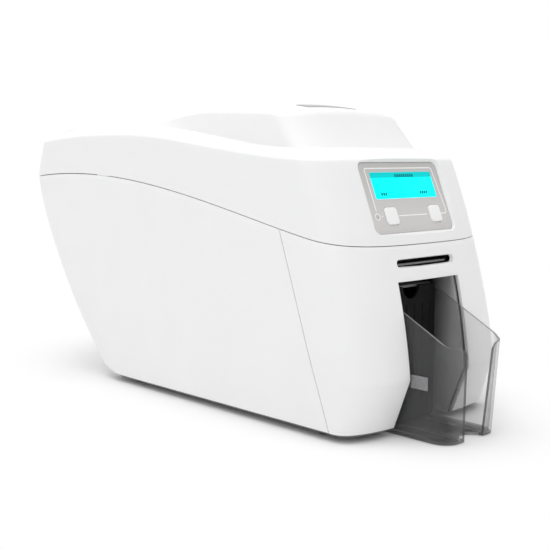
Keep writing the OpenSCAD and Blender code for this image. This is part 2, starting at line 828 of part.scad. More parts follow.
module rear_cover() {
    color("white") place() difference() {
        union() {
            difference() {
                cased() rear_shell();
                block([-recess_half, recess_back, recess_z], [recess_half, case_depth + 5, recess_z + recess_h]);
            }
            difference() {
                intersection() {
                    block([-recess_half - recess_t, recess_back, recess_z - recess_t],
                        [recess_half + recess_t, case_depth, recess_z + recess_h + recess_t]);
                    side_plate(-body_w, 2 * body_w, [[recess_back - 1, 0], [recess_back - 1, 200],
                        [rear_y(recess_z + recess_h + recess_t) - 1, recess_z + recess_h + recess_t],
                        [rear_y(recess_z - recess_t) - 1, recess_z - recess_t]]);
                }
                block([-recess_half, recess_y, recess_z], [recess_half, case_depth + 5, recess_z + recess_h]);
            }
        }
        hinge_groove();
        hinge_relief();
        socket_holes();
        for (k = [0 : vent_rows - 1])
            block([-vent_w / 2, fan_y, vent_z + k * vent_pitch], [vent_w / 2, recess_y, vent_z + k * vent_pitch + vent_h]);
        block([lock_x - lock_w / 2, recess_y, lock_z - lock_h / 2], [lock_x + lock_w / 2, case_depth, lock_z + lock_h / 2]);
    }
}

module on_panel() {
    translate([0, panel_y, panel_z]) rotate([90 - panel_lean, 0, 0]) children();
}

module lid() {
    low = seam_gap / 2;
    color("white") place() difference() {
        cased() loft([
            full_ring([for (i = [0 : half_steps]) roof_point(i, 0.5, wall)]),
            full_ring([for (i = [0 : half_steps]) hood_point(i, 1, wall, 1)]),
            full_ring([for (i = [0 : half_steps]) hood_point(i, 0, wall, 0)]),
            full_ring([for (i = [0 : half_steps]) flank(i, 1, wall, brow_wall, low, wall)]),
            full_ring([for (i = [0 : half_steps]) flank(i, 0.5, wall, brow_wall, low, wall)]),
            full_ring([for (i = [0 : half_steps]) flank(i, 0, wall, brow_wall, low, wall)]),
            full_ring([for (i = [0 : half_steps]) flank(i, 0, 0, 0, low, shoulder_r)]),
            full_ring([for (i = [0 : half_steps]) flank(i, 0.33, 0, 0, low, shoulder_r)]),
            full_ring([for (i = [0 : half_steps]) flank(i, 0.67, 0, 0, low, shoulder_r)]),
            full_ring([for (i = [0 : half_steps]) flank(i, 1, 0, 0, low, shoulder_r)]),
            full_ring([for (i = [0 : half_steps]) flank(i, 1, 0.3 * shoulder_r, 0.3 * shoulder_r, low, 0.3 * shoulder_r)]),
            full_ring([for (i = [0 : half_steps]) flank(i, 1, shoulder_r, shoulder_r, low, 0)]),
            full_ring([for (i = [0 : half_steps]) hood_point(i, 0, 0, 0)]),
            full_ring([for (i = [0 : half_steps]) hood_point(i, 0.88, 0, 0.86)]),
            full_ring([for (i = [0 : half_steps]) roof_point(i, 0.93, 0)]),
            full_ring([for (i = [0 : half_steps]) roof_point(i, 0.6, 0)]),
            full_ring([for (i = [0 : half_steps]) roof_point(i, 0.25, 0)])
        ], 1);
        hinge_groove();
        hinge_relief();
        on_panel() translate([0, panel_h / 2, -15]) linear_extrude(40)
            rounded_rect(panel_w + 2 * fit, panel_h + 2 * fit, panel_r);
    }
}

// ---------------------------------------------------------------- base

function base_edge() = [
    for (i = [0 : half_steps])
        let (p = plan(i, foot_w / 2 - wall - fit, front_y(tray_top) + wall + 1.2,
            foot_corner - wall, rear_y(shell_z) - wall - fit, rear_corner - wall, corner_power)) p
];

module base_tray() {
    edge = base_edge();
    color("dimgray") place() difference() {
        translate([case_shift, 0, tray_z]) linear_extrude(tray_t)
            polygon(concat(edge, [for (i = [half_steps - 1 : -1 : 1]) [-edge[i].x, edge[i].y]]));
        block([-bay_half - liner_t - tiny, -60, tray_z - 1],
            [bay_half + liner_t + tiny, liner_back_y + tiny, tray_top + 1]);
        both_sides() for (p = screw_at)
            translate([p[0], p[1], tray_z - 1]) cylinder(r = screw_r + run_fit, h = tray_t + 2);
    }
}

module rubber_feet() {
    color("black") place() cased() both_sides() for (p = feet_at)
        translate([p[0], p[1], 0]) cylinder(r = foot_r, h = tray_z);
}

module base_screws() {
    color("silver") place() both_sides() for (p = screw_at) translate([p[0], p[1], 0]) {
        translate([0, 0, tray_z - 1.8]) cylinder(r = 2 * screw_r, h = 1.8);
        translate([0, 0, tray_z - 0.1]) cylinder(r = screw_r, h = tray_t + chassis_t + 0.1);
    }
}

// ---------------------------------------------------------------- lid fittings

module lid_frame() {
    rail_x = hood_w / 2;
    rail_front = brow_y + brow_wall + 12;
    rail_back = hinge_y - 15;
    beam = body_w / 2 - wall - fit;
    color("gainsboro") place() difference() {
        cased() {
            both_sides() block([rail_x, rail_front + rail_w, frame_z], [rail_x + rail_w, rail_back, frame_z + frame_t]);
            both_sides() for (y = post_at)
                translate([rail_x + rail_w / 2, y, frame_z]) cylinder(r = post_r, h = edge_z(y) - wall - 0.4 - frame_z);
            for (y = [rail_front, rail_back - beam_d])
                block([-rail_x - 0.1, y, frame_z], [rail_x + 0.1, y + beam_d, frame_z + frame_t]);
            block([-beam, beam_y, frame_z], [beam, beam_y + beam_d, frame_z + frame_t]);
        }
        for (s = [-1, 1]) translate([s * head_pin_x, platen_y, frame_z - 1])
            cylinder(r = head_pin_r + run_fit, h = frame_t + 2);
    }
}

module top_badge() {
    color("gray") place() cased() intersection() {
        block([-badge_w / 2, badge_y, ridge_z - 30], [badge_w / 2, badge_y + badge_d, ridge_z]);
        loft(concat([for (s = [0.25, 0.6, 0.93]) full_ring([for (i = [0 : half_steps]) roof_point(i, s, -0.05)])],
            [for (s = [0.93, 0.6, 0.25]) full_ring([for (i = [0 : half_steps]) roof_point(i, s, -0.7)])]), 1);
    }
}

module display_bezel() {
    color("silver") place() on_panel() difference() {
        translate([0, panel_h / 2, -bezel_t]) linear_extrude(bezel_t) rounded_rect(panel_w, panel_h, panel_r);
        translate([window_shift, window_rise + window_h / 2, -bezel_t - 1]) linear_extrude(bezel_t + 2)
            rounded_rect(window_w + 2 * fit, window_h + 2 * fit, 1);
        for (x = [-left_button_x, right_button_x]) translate([x, button_rise, -bezel_t - 1])
            linear_extrude(bezel_t + 2) rounded_rect(button_size + 2 * fit, button_size + 2 * fit, button_r + fit);
        translate([-led_x, button_rise, -bezel_t - 1]) cylinder(r = led_r + run_fit, h = bezel_t + 2);
    }
}

module display_window() {
    color("cyan") place() on_panel() translate([window_shift, window_rise + window_h / 2, -window_t - fit])
        linear_extrude(window_t) rounded_rect(window_w, window_h, 1);
}

module lcd_module() {
    board_w = panel_w - 1.5;
    color("darkgreen") place() on_panel() {
        translate([window_shift, window_rise + window_h / 2, -panel_back]) linear_extrude(lcd_t)
            square([window_w + 4, window_h + 5], center = true);
        translate([0, panel_h / 2, -panel_back - board_t]) linear_extrude(board_t)
            square([board_w, panel_h - 1.5], center = true);
        for (x = [-left_button_x, right_button_x]) translate([x, button_rise, -panel_back])
            cylinder(r = 2.5, h = panel_back - bezel_t - button_flange - 2 * fit - button_travel);
        for (x = [-1, 1]) translate([x * (panel_w / 2 - 6), 2.6, -panel_back]) cylinder(r = 1.6, h = lcd_t);
        for (x = [-1, 1]) translate([x * (panel_w / 2 - 6), panel_h - 2.6, -panel_back]) cylinder(r = 1.6, h = lcd_t);
    }
}

module push_button() {
    translate([0, 0, -bezel_t - fit - button_flange]) linear_extrude(bezel_t + fit + button_flange + button_proud)
        rounded_rect(button_size, button_size, button_r);
    translate([0, 0, -bezel_t - fit - button_flange]) linear_extrude(button_flange)
        rounded_rect(button_size + 3, button_size - 1.5, button_r);
}

module left_button() {
    color("whitesmoke") place() on_panel() translate([-left_button_x, button_rise, 0]) push_button();
}

module right_button() {
    color("whitesmoke") place() on_panel() translate([right_button_x, button_rise, 0]) push_button();
}

module status_led() {
    color("lime") place() on_panel() translate([-led_x, button_rise, 0]) {
        translate([0, 0, -panel_back]) cylinder(r = led_r, h = panel_back - 0.2);
        translate([0, 0, -0.2]) cylinder(r1 = led_r, r2 = led_r * 0.7, h = 0.4);
    }
}

// ---------------------------------------------------------------- lid hinge and catches

module knuckle(x0, x1, leaf, bore) {
    difference() {
        union() {
            at([hinge_y, hinge_z]) rod(x0, x1, knuckle_r);
            side_plate(x0, x1 - x0, leaf);
        }
        at([hinge_y, hinge_z]) rod(x0 - 1, x1 + 1, bore);
    }
}

module lid_hinge_leaves() {
    back = hinge_y - 15;
    leaf = [[hinge_y - 3, hinge_z], [hinge_y - 0.5, hinge_z], [hinge_y - 1.2, hinge_z + 4.5],
        [hinge_y - 4, frame_z + 1], [hinge_y - 4.5, frame_z + frame_t], [back, frame_z + frame_t],
        [back, frame_z], [hinge_y - 7.5, frame_z], [hinge_y - knuckle_r - 1, hinge_z + 3]];
    color("slategray") place() both_sides() knuckle(hinge_low, hinge_high, leaf, hinge_pin_r + run_fit);
}

module hinge_brackets() {
    back = chassis_back_y;
    leaf = [[hinge_y - 2.8, hinge_z], [hinge_y - 1.3, hinge_z - 1.5], [hinge_y - 2.6, hinge_z - 8],
        [hinge_y - 5.4, hinge_z - 16], [hinge_y - 7.2, hinge_z - bracket_h + 0.2], [back, hinge_z - bracket_h], [back, hinge_z - 6],
        [back + bracket_t, hinge_z - 5]];
    color("slategray") place() both_sides() {
        knuckle(hinge_low - fit - body_knuckle, hinge_low - fit, leaf, hinge_pin_r + run_fit / 2);
        knuckle(hinge_high + fit, hinge_high + fit + body_knuckle, leaf, hinge_pin_r + run_fit / 2);
        block([hinge_low - fit - body_knuckle, back, hinge_z - bracket_h],
            [chassis_out, back + bracket_t, hinge_z - bracket_h + 10]);
    }
}

module lid_hinge_pins() {
    color("silver") place() both_sides() at([hinge_y, hinge_z])
        rod(hinge_low - fit - body_knuckle - 0.5, hinge_high + fit + body_knuckle + 0.5, hinge_pin_r);
}

module lid_magnets() {
    color("dimgray") place() both_sides()
        block([chassis_out, magnet_y, magnet_top - magnet_h - 4],
            [chassis_out + magnet_w, magnet_y + magnet_d, magnet_top]);
}

module lid_strikers() {
    color("silver") place() both_sides() {
        block([magnet_x, magnet_y, magnet_top + fit],
            [chassis_out + magnet_w, striker_end_y, magnet_top + fit + striker_t]);
        block([magnet_x, magnet_y, magnet_top + fit], [magnet_x + striker_t, striker_end_y, frame_z]);
        block([magnet_x, magnet_y, frame_z - striker_t], [hood_w / 2, striker_end_y, frame_z]);
    }
}

// ---------------------------------------------------------------- hopper and card stack

// Side wall, cut corner and front flange in one run, cut to the height of the sloping rim
module hopper_side() {
    x = -hopper_foot_w / 2;
    cut = hopper_front + hopper_cut;
    in = hopper_front + hopper_t;
    bend = cut + 1.5;
    intersection() {
        translate([-x, 0, hopper_z]) rotate([0, hopper_draft, 0]) linear_extrude(hopper_side_h + 5)
            polygon([[0, hopper_back], [0, cut], [-hopper_cut, hopper_front], [x + notch_r, hopper_front],
                [x + notch_r, in], [-hopper_cut - 0.8, in], [-hopper_t, cut + 0.6], [-hopper_t, hopper_back]]);
        side_plate(0, hopper_w, [[hopper_front - 1, hopper_z + 0.5], [hopper_back + 1, hopper_z + 0.5],
            [hopper_back + 1, hopper_side_z], [bend + (hopper_side_z - hopper_bend_z) / tan(hopper_slope), hopper_side_z],
            [bend, hopper_bend_z], [in - 0.6, hopper_front_z], [hopper_front - 1, hopper_front_z]]);
    }
}

module hopper() {
    stack_y = gate_y - 8;
    x = (hopper_foot_w - hopper_t) / 2;
    front = hopper_front + hopper_t / 2;
    color([0.35, 0.35, 0.36, 0.6]) place() {
        difference() {
            union() {
                translate([0, 0, hopper_z]) linear_extrude(hopper_t)
                    polygon([[-x, hopper_back - 1], [-x, front + hopper_cut], [hopper_cut - x, front],
                        [x - hopper_cut, front], [x, front + hopper_cut], [x, hopper_back - 1]]);
                both_sides() hopper_side();
                both_sides() block([x, liner_front_y(runner_z) + 6, runner_z],
                    [bay_half - fit, hopper_back - 2, runner_z + runner_t]);
                block([-x, hopper_back - hopper_t, hopper_z], [x, hopper_back - 0.2, hopper_back_z]);
            }
            translate([0, hopper_front, hopper_z - 1]) cylinder(r = notch_r - 0.5, h = hopper_t + 2);
        }
        for (s = [-1, 1]) side_plate(s * (notch_r + 1.5) - hopper_t / 2, hopper_t,
            [[front, hopper_floor - 0.5], [stack_y, hopper_floor - 0.5], [stack_y, hopper_floor + 9],
             [front, hopper_floor + 0.8]]);
    }
}

module card_gate() {
    half = hopper_foot_w / 2 - hopper_t - fit;
    color("black") place() difference() {
        block([-half, gate_y, hopper_floor], [half, gate_y + gate_t, gate_z]);
        translate([0, gate_y - 1, gate_z]) rotate([-90, 0, 0]) cylinder(r = 9, h = gate_t + 2);
    }
}

module lift_plate() {
    color("gray") place() {
        block([-plate_half, gate_y + gate_t + 1, lift_low], [plate_half, hopper_back - hopper_t - 1, lift_top]);
        translate([0, spring_y, lift_low - 4]) cylinder(r = lift_spring_r - 2, h = 4.5);
    }
}

// Round wire wound from z0 to z1
module coil(r, wire, z0, z1, turns) {
    seg = 10;
    side = 6;
    steps = turns * seg;
    rings = [for (k = [0 : steps]) let (a = 360 * k / seg, z = mix(z0 + wire, z1 - wire, k / steps))
        [for (j = [0 : side - 1]) let (b = -360 * j / side)
            [(r + wire * cos(b)) * cos(a), (r + wire * cos(b)) * sin(a), z + wire * sin(b)]]];
    polyhedron(points = [for (q = rings, p = q) p],
        faces = concat(side_faces(steps + 1, side), [[for (j = [0 : side - 1]) j]],
            [[for (j = [side - 1 : -1 : 0]) steps * side + j]]));
}
module lift_spring() {
    color("silver") place() translate([0, spring_y, 0])
        coil(lift_spring_r, lift_wire_r, hopper_floor + 0.1, lift_low - 0.1, 9);
}

// ---------------------------------------------------------------- chassis

// Inner face of the front cover beside the hopper bay, with room for the bay liner
function liner_front_y(z) = front_y(z) + wall + 2.6;

module bay_liner() {
    heights = [tray_z, (tray_z + toe_z) / 2, toe_z, (toe_z + bay_top_z) / 2, bay_top_z + liner_t];
    tail_top = hopper_back_z - 2;
    outline = concat([for (z = heights) [liner_front_y(z), z]],
        [[liner_tail_y, bay_top_z + liner_t], [liner_tail_y, tail_top], [liner_back_y, tail_top],
         [liner_back_y, tray_z]]);
    color("black") place() difference() {
        union() {
            both_sides() side_plate(bay_half, liner_t, outline);
            block([-bay_half - 0.1, liner_back_y - liner_t, tray_z], [bay_half + 0.1, liner_back_y, tail_top]);
            both_sides() block([hopper_foot_w / 2 + 2, liner_front_y(tray_z) + 4, tray_z],
                [bay_half + 0.1, liner_back_y, runner_z - fit]);
            block([-bay_half - 0.1, liner_front_y(bay_top_z), bay_top_z], [bay_half + 0.1, 2.6, bay_top_z + liner_t]);
        }
        both_sides() at(pick_at) rod(bay_half - 1, bay_half + liner_t + 1, shaft_r + 1.5);
    }
}

module chassis_plate() {
    outline = [[22, tray_top], [fan_y - fit, tray_top], [fan_y - fit, tray_top + 30], [fan_y + 14, tray_top + 30],
        [recess_room, board_z - 4], [recess_room, path_z], [chassis_back_y, hinge_z - 25],
        [chassis_back_y, hinge_z - 6], [chassis_back_y - 53, hinge_z - 6], [chassis_back_y - 73, path_z + 30], [supply_y + 18, path_z + 30],
        [supply_y + 10, spool_z + 10], [takeup_y - 10, spool_z + 10], [takeup_y - 16, chassis_top_front],
        [26, chassis_top_front], [22, path_z + 8], [flap_y - 5, flap_z + 4], [flap_y - 5, flap_z - 4],
        [22, flap_z - 12]];
    difference() {
        union() {
            side_plate(chassis_in, chassis_t, outline);
            block([chassis_in, 120, tray_top], [chassis_out + flange_foot_w, fan_y - 2, tray_top + chassis_t]);
        }
        for (p = shafts) at(p) rod(chassis_in - 1, chassis_out + 1, bush_r);
        for (p = bars) at(p) rod(chassis_in - 1, chassis_out + 1, bar_r);
        for (p = guides) at(p) rod(chassis_in - 1, chassis_out + 1, guide_r);
        at([flap_y, flap_z]) rod(chassis_in - 1, chassis_out + 1, flap_pin_r + run_fit);
        for (p = [supply_at, takeup_at]) at(p) rod(chassis_in - 1, chassis_out + 1, shaft_r + run_fit);
        for (p = screw_at) translate([p[0], p[1], tray_top - 1]) cylinder(r = screw_r + run_fit, h = chassis_t + 2);
    }
}

module chassis_left_plate() {
    color("lightsteelblue") place() difference() {
        mirror([1, 0, 0]) chassis_plate();
        at(motor_at) rod(-chassis_out - 1, -chassis_in + 1, motor_boss_r + run_fit);
    }
}

module chassis_right_plate() {
    color("lightsteelblue") place() chassis_plate();
}

module cross_bars() {
    color("silver") place() {
        for (p = bars) at(p) rod(-chassis_out - 1, chassis_out + 1, bar_r);
        for (p = guides) at(p) rod(-chassis_out - 1, chassis_out + 1, guide_r);
    }
}

module shaft_bushes() {
    color("goldenrod") place() both_sides() for (p = shafts) at(p) difference() {
        union() {
            rod(chassis_in - 0.2, chassis_out + 0.6, bush_r);
            rod(chassis_out, chassis_out + 1.2, bush_r + 1);
        }
        rod(chassis_in - 2, chassis_out + 3, shaft_r + run_fit);
    }
}

// Bed plates between the rollers, with edge rails, and the ramp up from the card stack
module bed_plate(y0, y1) {
    half = chassis_in - fit;
    block([-half, y0, bed_low], [half, y1, bed_top]);
    both_sides() block([card_half + 0.4, y0, bed_low], [card_half + 2, y1, path_z + card_t / 2 - 0.1]);
}

module card_bed() {
    ramp_y = liner_back_y - 3;
    ramp_end = infeed_y - drive_r - bed_gap;
    color("dimgray") place() {
        bed_plate(18, liner_back_y - 14);
        bed_plate(infeed_y + drive_r + bed_gap, platen_y - platen_r - bed_gap);
        bed_plate(platen_y + platen_r + bed_gap, exit_y - drive_r - bed_gap);
        bed_plate(exit_y + drive_r + bed_gap, bed_end_y);
        side_plate(-card_half - 2, card_w + 4, [[ramp_y, hopper_back_z + 0.5], [ramp_y, hopper_back_z - 1.2],
            [ramp_end, bed_low - 1], [ramp_end, bed_top], [ramp_end - 1, bed_top]]);
        block([-chassis_in + fit, ramp_end - 3, bed_low], [chassis_in - fit, ramp_end, bed_top]);
    }
}

module card_diverter() {
    color("dimgray") place() {
        at([flap_y, flap_z]) rod(-chassis_out - 1, chassis_out + 1, flap_pin_r);
        side_plate(-card_half, card_w, [[flap_y, flap_z - 1.8], [flap_y, flap_z + 1.8],
            [flap_y - flap_len, flap_z + 2.2], [flap_y - flap_len, flap_z + 1]]);
    }
}

// ---------------------------------------------------------------- rollers

// Shaft with belt pulleys at its left end
module driven_shaft(p, lanes, r) {
    at(p) {
        rod(-pulley_x - lanes * (belt_w + 1) - 1, shaft_end - 0.5, shaft_r);
        for (k = [0 : lanes - 1]) translate([-pulley_x - k * (belt_w + 1) - belt_w, 0, 0]) {
            rod(0, belt_w, r);
            rod(-0.8, 0, r + 1.6);
        }
    }
}

// Rubber sleeves on a shaft
module sleeve(p, r, half, gap) {
    at(p) difference() {
        rod(-half, half, r);
        rod(-half - 1, half + 1, shaft_r);
        if (gap > 0) difference() {
            rod(-gap, gap, r + 1);
            rod(-gap - 1, gap + 1, shaft_r + 1.5);
        }
    }
}

module free_roller(p, r, half) {
    at(p) {
        rod(-shaft_end, shaft_end, shaft_r);
        rod(-half, half, r);
    }
}

module pick_shaft() {
    color("silver") place() at(pick_at) {
        rod(-outer_belt_x - belt_w - 1, shaft_end - 0.5, shaft_r);
        translate([-outer_belt_x - belt_w, 0, 0]) {
            rod(0, belt_w, pulley_r);
            rod(-0.8, 0, pulley_r + 1.6);
        }
    }
}

module pick_roller() {
    color("darkslategray") place() sleeve(pick_at, pick_r, 13, 0);
}

module infeed_shaft() {
    color("silver") place() driven_shaft(infeed_at, 2, pulley_r);
}

module infeed_roller() {
    color("darkslategray") place() sleeve(infeed_at, drive_r, pinch_half, 8);
}

module infeed_pinch_roller() {
    color("gray") place() free_roller(infeed_pinch_at, pinch_r, pinch_half);
}

module cleaning_roller() {
    color("steelblue") place() free_roller(clean_at, clean_r, card_half + 0.2);
}

module platen_shaft() {
    color("silver") place() driven_shaft(platen_at, 1, platen_pulley_r);
}

module platen_roller() {
    color("darkslategray") place() sleeve(platen_at, platen_r, card_half + 1, 0);
}

module exit_shaft() {
    color("silver") place() driven_shaft(exit_at, 1, pulley_r);
}

module exit_roller() {
    color("darkslategray") place() sleeve(exit_at, drive_r, pinch_half, 8);
}

module exit_pinch_roller() {
    color("gray") place() free_roller(exit_pinch_at, pinch_r, pinch_half);
}

// ---------------------------------------------------------------- drive

module transport_motor() {
    color("dimgray") place() at(motor_at) {
        difference() {
            union() {
                translate([-chassis_in, -motor_w / 2, -motor_w / 2]) cube([motor_len, motor_w, motor_w]);
                rod(-chassis_out - 0.5, -chassis_in + 1, motor_boss_r);
            }
            for (a = [45 : 90 : 315]) translate([-chassis_in - 1, 0, 0]) rotate([a, 0, 0])
                translate([0, motor_w * 0.62, -motor_w / 4]) cube([motor_len + 2, motor_w, motor_w / 2]);
            rod(-chassis_out - 2, -chassis_in + 20, motor_shaft_r + run_fit);
        }
    }
}

module motor_pulley() {
    color("silver") place() at(motor_at) {
        rod(-pulley_x - belt_w - 1, -chassis_in + 15, motor_shaft_r);
        rod(-pulley_x - belt_w, -pulley_x, motor_pulley_r);
        rod(-pulley_x - belt_w - 0.8, -pulley_x - belt_w, motor_pulley_r + 1.6);
    }
}

// Flat belt round pulleys given as [[y, z], radius]
module belt(x0, wheels) {
    translate([x0, 0, 0]) rotate([90, 0, 90]) linear_extrude(belt_w - 0.6) difference() {
        hull() for (w = wheels) translate(w[0]) circle(r = w[1] + fit + belt_t, $fn = 32);
        hull() for (w = wheels) translate(w[0]) circle(r = w[1] + fit, $fn = 32);
    }
}

module drive_belts() {
    color("black") place() {
        belt(-pulley_x - belt_w + fit, [[infeed_at, pulley_r], [exit_at, pulley_r], [motor_at, motor_pulley_r]]);
        belt(-outer_belt_x - belt_w + fit, [[infeed_at, pulley_r], [pick_at, pulley_r]]);
    }
}

// ---------------------------------------------------------------- ribbon

module spool(p, wound) {
    half = chassis_in - 2;
    at(p) {
        rod(-shaft_end, shaft_end, shaft_r);
        rod(-half, half, 7);
        rod(-ribbon_w / 2, ribbon_w / 2, wound);
        both_sides() rod(half - 2, half, spool_flange_r - (wound < 12 ? 3 : 0));
    }
}

module ribbon_supply_spool() {
    color("darkorange") place() spool(supply_at, supply_r);
}

module ribbon_takeup_spool() {
    color("saddlebrown") place() spool(takeup_at, takeup_r);
}

// Point where a line from a touches the circle round c; side is 1 or -1
function tangent(a, c, r, side) =
    let (d = c - a, dist = norm(d), turn = side * asin(r / dist), len = sqrt(dist * dist - r * r))
    a + len * [d.x * cos(turn) - d.y * sin(turn), d.x * sin(turn) + d.y * cos(turn)] / dist;
// Point of an open path moved sideways by d
function aside(path, i, d) =
    let (u = path[min(i + 1, len(path) - 1)] - path[max(i - 1, 0)]) path[i] + d * [-u.y, u.x] / norm(u);

module ribbon_film() {
    low = guide_r + fit;
    back = guides[0];
    front = guides[1];
    path = concat([tangent(back, supply_at, supply_r + 2 * fit, 1)],
        [for (a = [-20, -50, -80]) back + low * [cos(a), sin(a)] * 1.05 - [0, film_t]],
        [[platen_y + head_d / 2 + 2, run_z], [platen_y - head_d / 2 - 2, run_z]],
        [for (a = [-100, -130, -160]) front + low * [cos(a), sin(a)] * 1.05 - [0, film_t]],
        [tangent(front, takeup_at, takeup_r + 2 * fit, -1)]);
    color("purple") place() side_plate(-ribbon_w / 2, ribbon_w, concat(
        [for (i = [0 : len(path) - 1]) aside(path, i, 0)],
        [for (i = [len(path) - 1 : -1 : 0]) aside(path, i, -film_t)]));
}

module ribbon_motor() {
    color("dimgray") place() at(takeup_at) difference() {
        rod(chassis_out, chassis_out + ribbon_motor_len, ribbon_motor_r);
        rod(chassis_out - 1, shaft_end + 1, shaft_r + 2 * run_fit);
    }
}

// ---------------------------------------------------------------- print head

module print_head() {
    fin_gap = 3;
    color("whitesmoke") place() difference() {
        block([-head_w / 2, platen_y - head_d / 2, head_low], [head_w / 2, platen_y + head_d / 2, carriage_low]);
        for (s = [-1, 1], k = [0 : 3]) let (y = platen_y + s * (head_d / 2 - 1.5))
            block([-head_w / 2 - 1, y - 1.6, head_low + 8 + k * 5.4], [head_w / 2 + 1, y + 1.6, head_low + 8 + k * 5.4 + fin_gap]);
    }
}

module head_carriage() {
    color("slategray") place() {
        block([-carriage_half, platen_y - head_d / 2 + 1, carriage_low], [carriage_half, platen_y + head_d / 2 - 1, carriage_top]);
        for (s = [-1, 1]) translate([s * head_pin_x, platen_y, 0]) {
            translate([0, 0, carriage_top - 1]) cylinder(r = head_pin_r, h = frame_z + frame_t + 3 - carriage_top);
            translate([0, 0, frame_z + frame_t + fit]) cylinder(r = head_pin_r + 2, h = 1.2);
        }
    }
}

module head_springs() {
    color("silver") place() for (s = [-1, 1]) translate([s * head_pin_x, platen_y, 0])
        coil(head_pin_r + 1.2, 0.5, carriage_top + 0.1, frame_z - 0.1, 5);
}

// ---------------------------------------------------------------- electronics

module main_board() {
    half = chassis_in - fit;
    color("darkgreen") place() {
        block([-half, board_y, board_z], [half, board_end_y, board_top]);
        block([-22, board_y + 14, board_top - 0.1], [-6, board_y + 30, board_top + 1.6]);
        block([6, board_y + 20, board_top - 0.1], [17, board_y + 28, board_top + 1.4]);
        for (x = [-30, 24, 31]) translate([x, board_y + 12, board_top - 0.1]) cylinder(r = 3, h = 9);
        for (x = [-28, 0, 20]) block([x - 5, board_y + 2, board_top - 0.1], [x + 5, board_y + 6, board_top + 6]);
    }
}

// Board socket with a round or square mouth
module socket(x, w, h) {
    difference() {
        block([x - w / 2, socket_front - socket_len, board_top], [x + w / 2, socket_front, board_top + h]);
        children();
    }
}

module switch_housing() {
    low = [switch_x - switch_w / 2, recess_back - 9, switch_z];
    high = [switch_x + switch_w / 2, recess_y + 0.8, switch_z + switch_h];
    inset = [switch_wall, 4, switch_wall];
    difference() {
        block(low, high);
        block(low + inset, high + [-switch_wall, 1, -switch_wall]);
        at([switch_y, switch_mid]) rod(low.x - 1, high.x + 1, switch_pin_r + run_fit);
    }
}

module power_inlet() {
    color("black") place() {
        socket(inlet_x, inlet_w, inlet_h) translate([inlet_x, socket_front - 11, inlet_mid_z])
            rotate([-90, 0, 0]) cylinder(r = inlet_mouth_r, h = 12, $fn = 16);
        translate([inlet_x, socket_front - 12, inlet_mid_z]) rotate([-90, 0, 0])
            cylinder(r = inlet_pin_r, h = 10, $fn = 8);
        switch_housing();
    }
}

module usb_port() {
    color("silver") place() socket(usb_x, usb_w, usb_h)
        block([usb_x - usb_mouth / 2, socket_front - 10, board_top + 1.5],
            [usb_x + usb_mouth / 2, socket_front + 1, board_top + 1.5 + usb_mouth]);
}

module ethernet_port() {
    color("silver") place() socket(lan_x, lan_w, lan_h)
        block([lan_x - lan_mouth_w / 2, socket_front - 12, board_top + 2.5],
            [lan_x + lan_mouth_w / 2, socket_front + 1, board_top + 2.5 + lan_mouth_h]);
}

module power_switch() {
    half = switch_h / 2 - switch_wall - fit - 0.6;
    width = switch_w - 2 * switch_wall - 2 * fit;
    color("black") place() at([switch_y, switch_mid]) {
        rotate([-switch_tilt, 0, 0]) side_plate(switch_x - width / 2, width,
            [[-2.4, -2], [-2.4, 2], [1.2, half], [3, half], [2.1, 0], [3, -half], [1.2, -half]]);
        rod(switch_x - switch_w / 2 + fit, switch_x + switch_w / 2 - fit, switch_pin_r);
    }
}

module cooling_fan() {
    color("black") place() translate([0, fan_y, tray_top + fan_w / 2]) rotate([-90, 0, 0]) {
        difference() {
            translate([-fan_w / 2, -fan_w / 2, 0]) cube([fan_w, fan_w, fan_d]);
            translate([0, 0, 1.2]) cylinder(r = fan_w / 2 - 1.2, h = fan_d);
            difference() {
                translate([0, 0, -1]) cylinder(r = fan_w / 2 - 1.2, h = 3);
                for (a = [0, 90]) rotate([0, 0, a]) translate([-fan_w / 2, -1.2, -2]) cube([fan_w, 2.4, 5]);
                translate([0, 0, -2]) cylinder(r = 8, h = 5);
            }
        }
        translate([0, 0, 1]) cylinder(r = 1.5, h = 5);
    }
}

module fan_rotor() {
    color("dimgray") place() translate([0, fan_y, tray_top + fan_w / 2]) rotate([-90, 0, 0]) difference() {
        union() {
            translate([0, 0, 2]) cylinder(r = 8, h = fan_d - 3);
            for (k = [0 : blades - 1]) rotate([0, 0, 360 * k / blades]) translate([0, 0, 2 + (fan_d - 3) / 2])
                rotate([40, 0, 0]) translate([7, -3, -0.5]) cube([fan_w / 2 - 9.4, 6, 1]);
        }
        translate([0, 0, 1]) cylinder(r = 1.5 + run_fit, h = 6);
    }
}

base_tray();
rubber_feet();
left_side_panel();
right_side_panel();
front_cover();
rear_cover();
lid();
lid_frame();
top_badge();
display_bezel();
display_window();
lcd_module();
left_button();
right_button();
status_led();
hopper();
card_gate();
lift_plate();
lift_spring();
bay_liner();
card_diverter();
hinge_brackets();
lid_hinge_leaves();
lid_hinge_pins();
lid_magnets();
lid_strikers();
chassis_left_plate();
chassis_right_plate();
cross_bars();
shaft_bushes();
card_bed();
pick_shaft();
pick_roller();
infeed_shaft();
infeed_roller();
infeed_pinch_roller();
cleaning_roller();
platen_shaft();
platen_roller();
exit_shaft();
exit_roller();
exit_pinch_roller();
print_head();
head_carriage();
head_springs();
transport_motor();
motor_pulley();
drive_belts();
ribbon_supply_spool();
ribbon_takeup_spool();
ribbon_film();
ribbon_motor();
main_board();
power_inlet();
usb_port();
ethernet_port();
power_switch();
cooling_fan();
fan_rotor();
base_screws();
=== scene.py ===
"""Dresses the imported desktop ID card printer: covers, panel, hopper, drive, ribbon and sockets."""

from __future__ import annotations

import logging
import math
from dataclasses import dataclass, field
from enum import Enum
from typing import Callable, Iterable, Sequence

